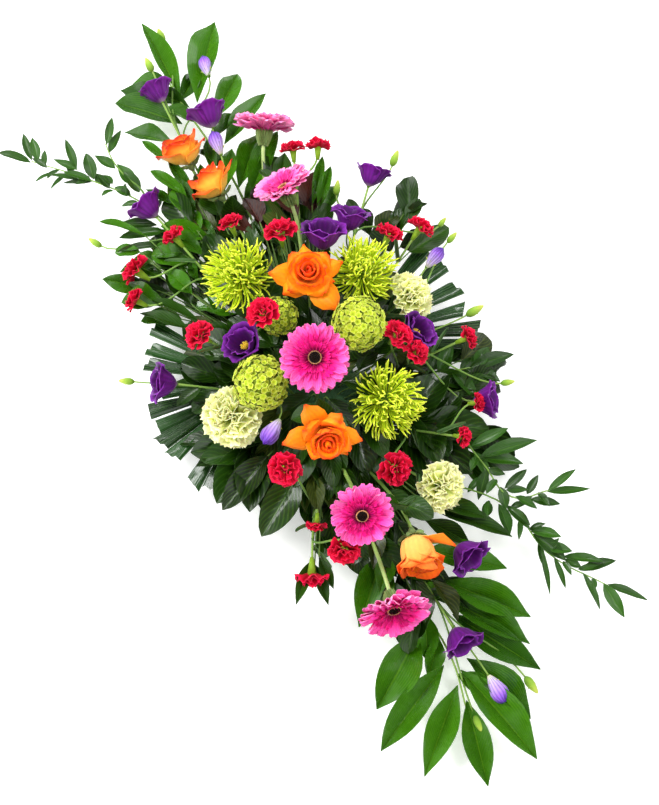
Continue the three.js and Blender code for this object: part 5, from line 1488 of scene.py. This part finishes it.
blooms = [
    *((at, across) for at, across, *_ in GERBERAS + ROSES + CHRYSANTHEMUMS + VIBURNUMS + CARNATIONS),
    *(
        (row[:3], row[3])
        for rows in (SPRAY_CARNATIONS, LISIANTHUS) for row_list in rows.values() for row in row_list
    ),
    *((row[:3], row[3] * 0.6) for row_list in LISIANTHUS_BUDS.values() for row in row_list),
]


def in_the_way(point):
    """Whether a leaf here would run into a bloom, hide it from above or in front, or fill a bare spot."""
    if any((point.xy - Vector((x, y))).length < reach for x, y, reach in BARE_SPOTS):
        return True
    for at, across in blooms:
        apart, radius = point - Vector(at), across / 2
        for sight in (back, Vector((0, 0, 1))):
            ahead = apart.dot(sight)
            if ahead > -0.6 * radius and (apart - sight * ahead).length < radius * 0.92:
                return True
        if apart.length < radius:
            return True
    return False


def wired(bm, root, lead, end):
    """The wired stalk of a single leaf, from the foam to its root."""
    foot = Vector((min(max(root.x * 0.5, -100), 100), min(max(root.y * 0.4, -48), 48), 70))
    lead = root.lerp(foot, 0.1) if lead is None else lead
    stalk(bm, (foot, foot.lerp(root, 0.4) + Vector((0, 0, 6)), lead, end), STALK_RADIUS, 5, 0.8, 4)


bronze_leaf = leaf_finish("bronze_leaf", "220c0a", "4a2016", "6c3c28", 7, 3, 0.35, 0.15)
olive_leaf = leaf_finish("olive_leaf", "1e2c06", "405012", "687424", 7, 3, 0.4, 0.1)
stalks = petal_finish("leaf_stalk", ((0, "3c5424"), (1, "5d7c38")), 3, 0.05, 0.5)
draw = random.Random(300)
bm = layered(bmesh.new())
for i, (share, middle, reach) in enumerate(
    (turn / count, middle, reach) for count, middle, reach in PATCHES for turn in range(count)
):
    out = sqrt(share + 0.003) ** 0.9
    for attempt in range(TRIES):
        angle = GOLDEN * i + draw.uniform(-0.2, 0.2)
        root = Vector((
            middle[0] + reach[0] * out * cos(angle) * 0.86, middle[1] + reach[1] * out * sin(angle) * 0.86, 0,
        ))
        heading = atan2(root.y, root.x) + draw.uniform(-0.75, 0.75)
        long = draw.uniform(46, 74)
        fall = GREENS_FALL * out * out * (reach[0] / PATCHES[0][2][0]) ** 2
        root.z = middle[2] - fall + draw.uniform(-22, 4)
        drop = draw.uniform(-0.25, 0.2) - 0.25 * out
        way = Vector((cos(heading), sin(heading), drop)).normalized()
        marks = [root + way * long * share for share in (0.15, 0.5, 0.8, 1)]
        if not any(in_the_way(mark) for mark in marks):
            break
    else:
        continue
    kinds, face, wide = TUCKED[i % 3]
    back_face = UNDERSIDE
    if min((root.xy - spot).length for spot in BRONZE_SPOTS) < BRONZE_REACH:
        face = back_face = 2
    elif root.x < -120 and root.y < -50 and i % 3:
        face = 6
    elif i % 7 == 3:
        face = 4
    set_leaf(bm, kinds, root, marks[-1], wide * draw.uniform(0.85, 1.1), draw, face, back_face, 28)
    wired(bm, root, root - way * 14, root + way * 2)
for root, tip, wide, is_broad in EDGE_LEAVES:
    kinds, face = broad if is_broad else lance, 6 if root[0] < -200 else 0
    set_leaf(bm, kinds, root, tip, wide, draw, face, UNDERSIDE, 10)
    wired(bm, Vector(root), None, Vector(root))
greens = as_piece(
    bm, "tucked_greens", dark_leaf, salal_leaf, bronze_leaf, dark_underside, olive_leaf, stalks, ruscus_leaf,
)
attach(greens, "root")


# Palm fans. One stiff pleated fan on each side: blades joined at the foot, folded lengthwise and
# trimmed straight across, with gaps between groups. The stalk goes into the side of the foam.
PALMS = {
    # the foot, the middle heading, the tilt, and each blade's angle, reach and half width in degrees
    "left": ((-52, -66, 50), -90, 1, (
        (-51, 160, 4.2), (-40, 150, 4.0), (-32, 147, 4.0), (-14, 128, 3.0), (-5, 144, 4.6),
        (5, 140, 4.2), (14, 148, 4.4), (23, 147, 4.4), (39, 156, 4.4), (48, 154, 4.2),
    )),
    "right": ((-66, 66, 56), 95, 6, (
        (28, 166, 4.2), (15, 165, 4.0), (3, 162, 4.2), (-8, 160, 3.4), (-18, 174, 3.8), (-27, 170, 3.4),
    )),
}
PALM_HAND, PALM_RIDGE, PALM_STALK_RADIUS = 0.52, 0.07, 3.2

# The pale vein colour of the blades paints highlights along their folds and edges, over their own paler ribs.
palm_leaf_with_painted_shine = leaf_finish("palm_blade_painted_shine", "0c260a", "1b4814", "6c9a52", 3, 0, 0.24, 0.4)
palm_stalk = petal_finish("palm_stalk", ((0, "41602c"), (1, "6c8a44")), 3, 0.05, 0.5)


def pleated(skew):
    """A folded blade of length one along +Y that widens from its foot to its slanting trimmed end."""
    bm, along, across = new_grid((4, 9))
    for v in bm.verts:
        side, run = 2 * v.co.x, v.co.y + 0.5
        fold = abs(round(side * 2)) % 2
        # Across is 0 along the valleys and edges, where the blade's finish paints pale lines of highlight over
        # its paler ribs.
        v[along], v[across] = run, 1.0 if fold else 0.0
        ridge = PALM_RIDGE * fold * (0.3 + 0.7 * run) - 0.05 * run ** 3
        v.co = (side * run, run * (1 + skew * side * run ** 6), ridge)
    return kept("blade", sharpened(thickened(bm, 0.006), 0.5))


blades = [pleated(skew) for skew in (-0.03, 0.035, 0.0)]

for side, (point, heading, tilt, rays_out) in PALMS.items():
    draw = random.Random(230 + len(side))
    bm = layered(bmesh.new())
    lay = Matrix.Translation(Vector(point) * MM) @ Matrix.Rotation(radians(heading - 90), 4, "Z")
    lay = lay @ Matrix.Rotation(radians(tilt), 4, "X")
    turns = sorted(rays_out)
    joins = [((a[0] + b[0]) / 2, a[1] * PALM_HAND, (b[0] - a[0]) / 2) for a, b in zip(turns, turns[1:])]
    for angle, reach, half in turns + joins:
        size = Matrix.Diagonal((reach * sin(radians(half)) * MM, reach * MM, reach * MM, 1))
        lift = Matrix.Rotation(radians(draw.uniform(-2.5, 2.5)), 4, "X")
        lift = lift @ Matrix.Rotation(radians(draw.uniform(-9, 9)), 4, "Y")
        place = lay @ Matrix.Rotation(radians(angle), 4, "Z") @ lift @ size
        set_in(bm, draw.choice(blades), place, draw.random(), 0, 0)
    inward = Vector((-cos(radians(heading)), -sin(radians(heading)), -0.08)).normalized()
    stalk(bm, [Vector(point) + inward * far for far in (37, 20, 5, -20)], PALM_STALK_RADIUS, 1, 0.8, 4)
    fan = as_piece(bm, f"palm_{side}_fan", palm_leaf_with_painted_shine, palm_stalk)
    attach(fan, "root")
    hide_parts(f"palm_{side}")
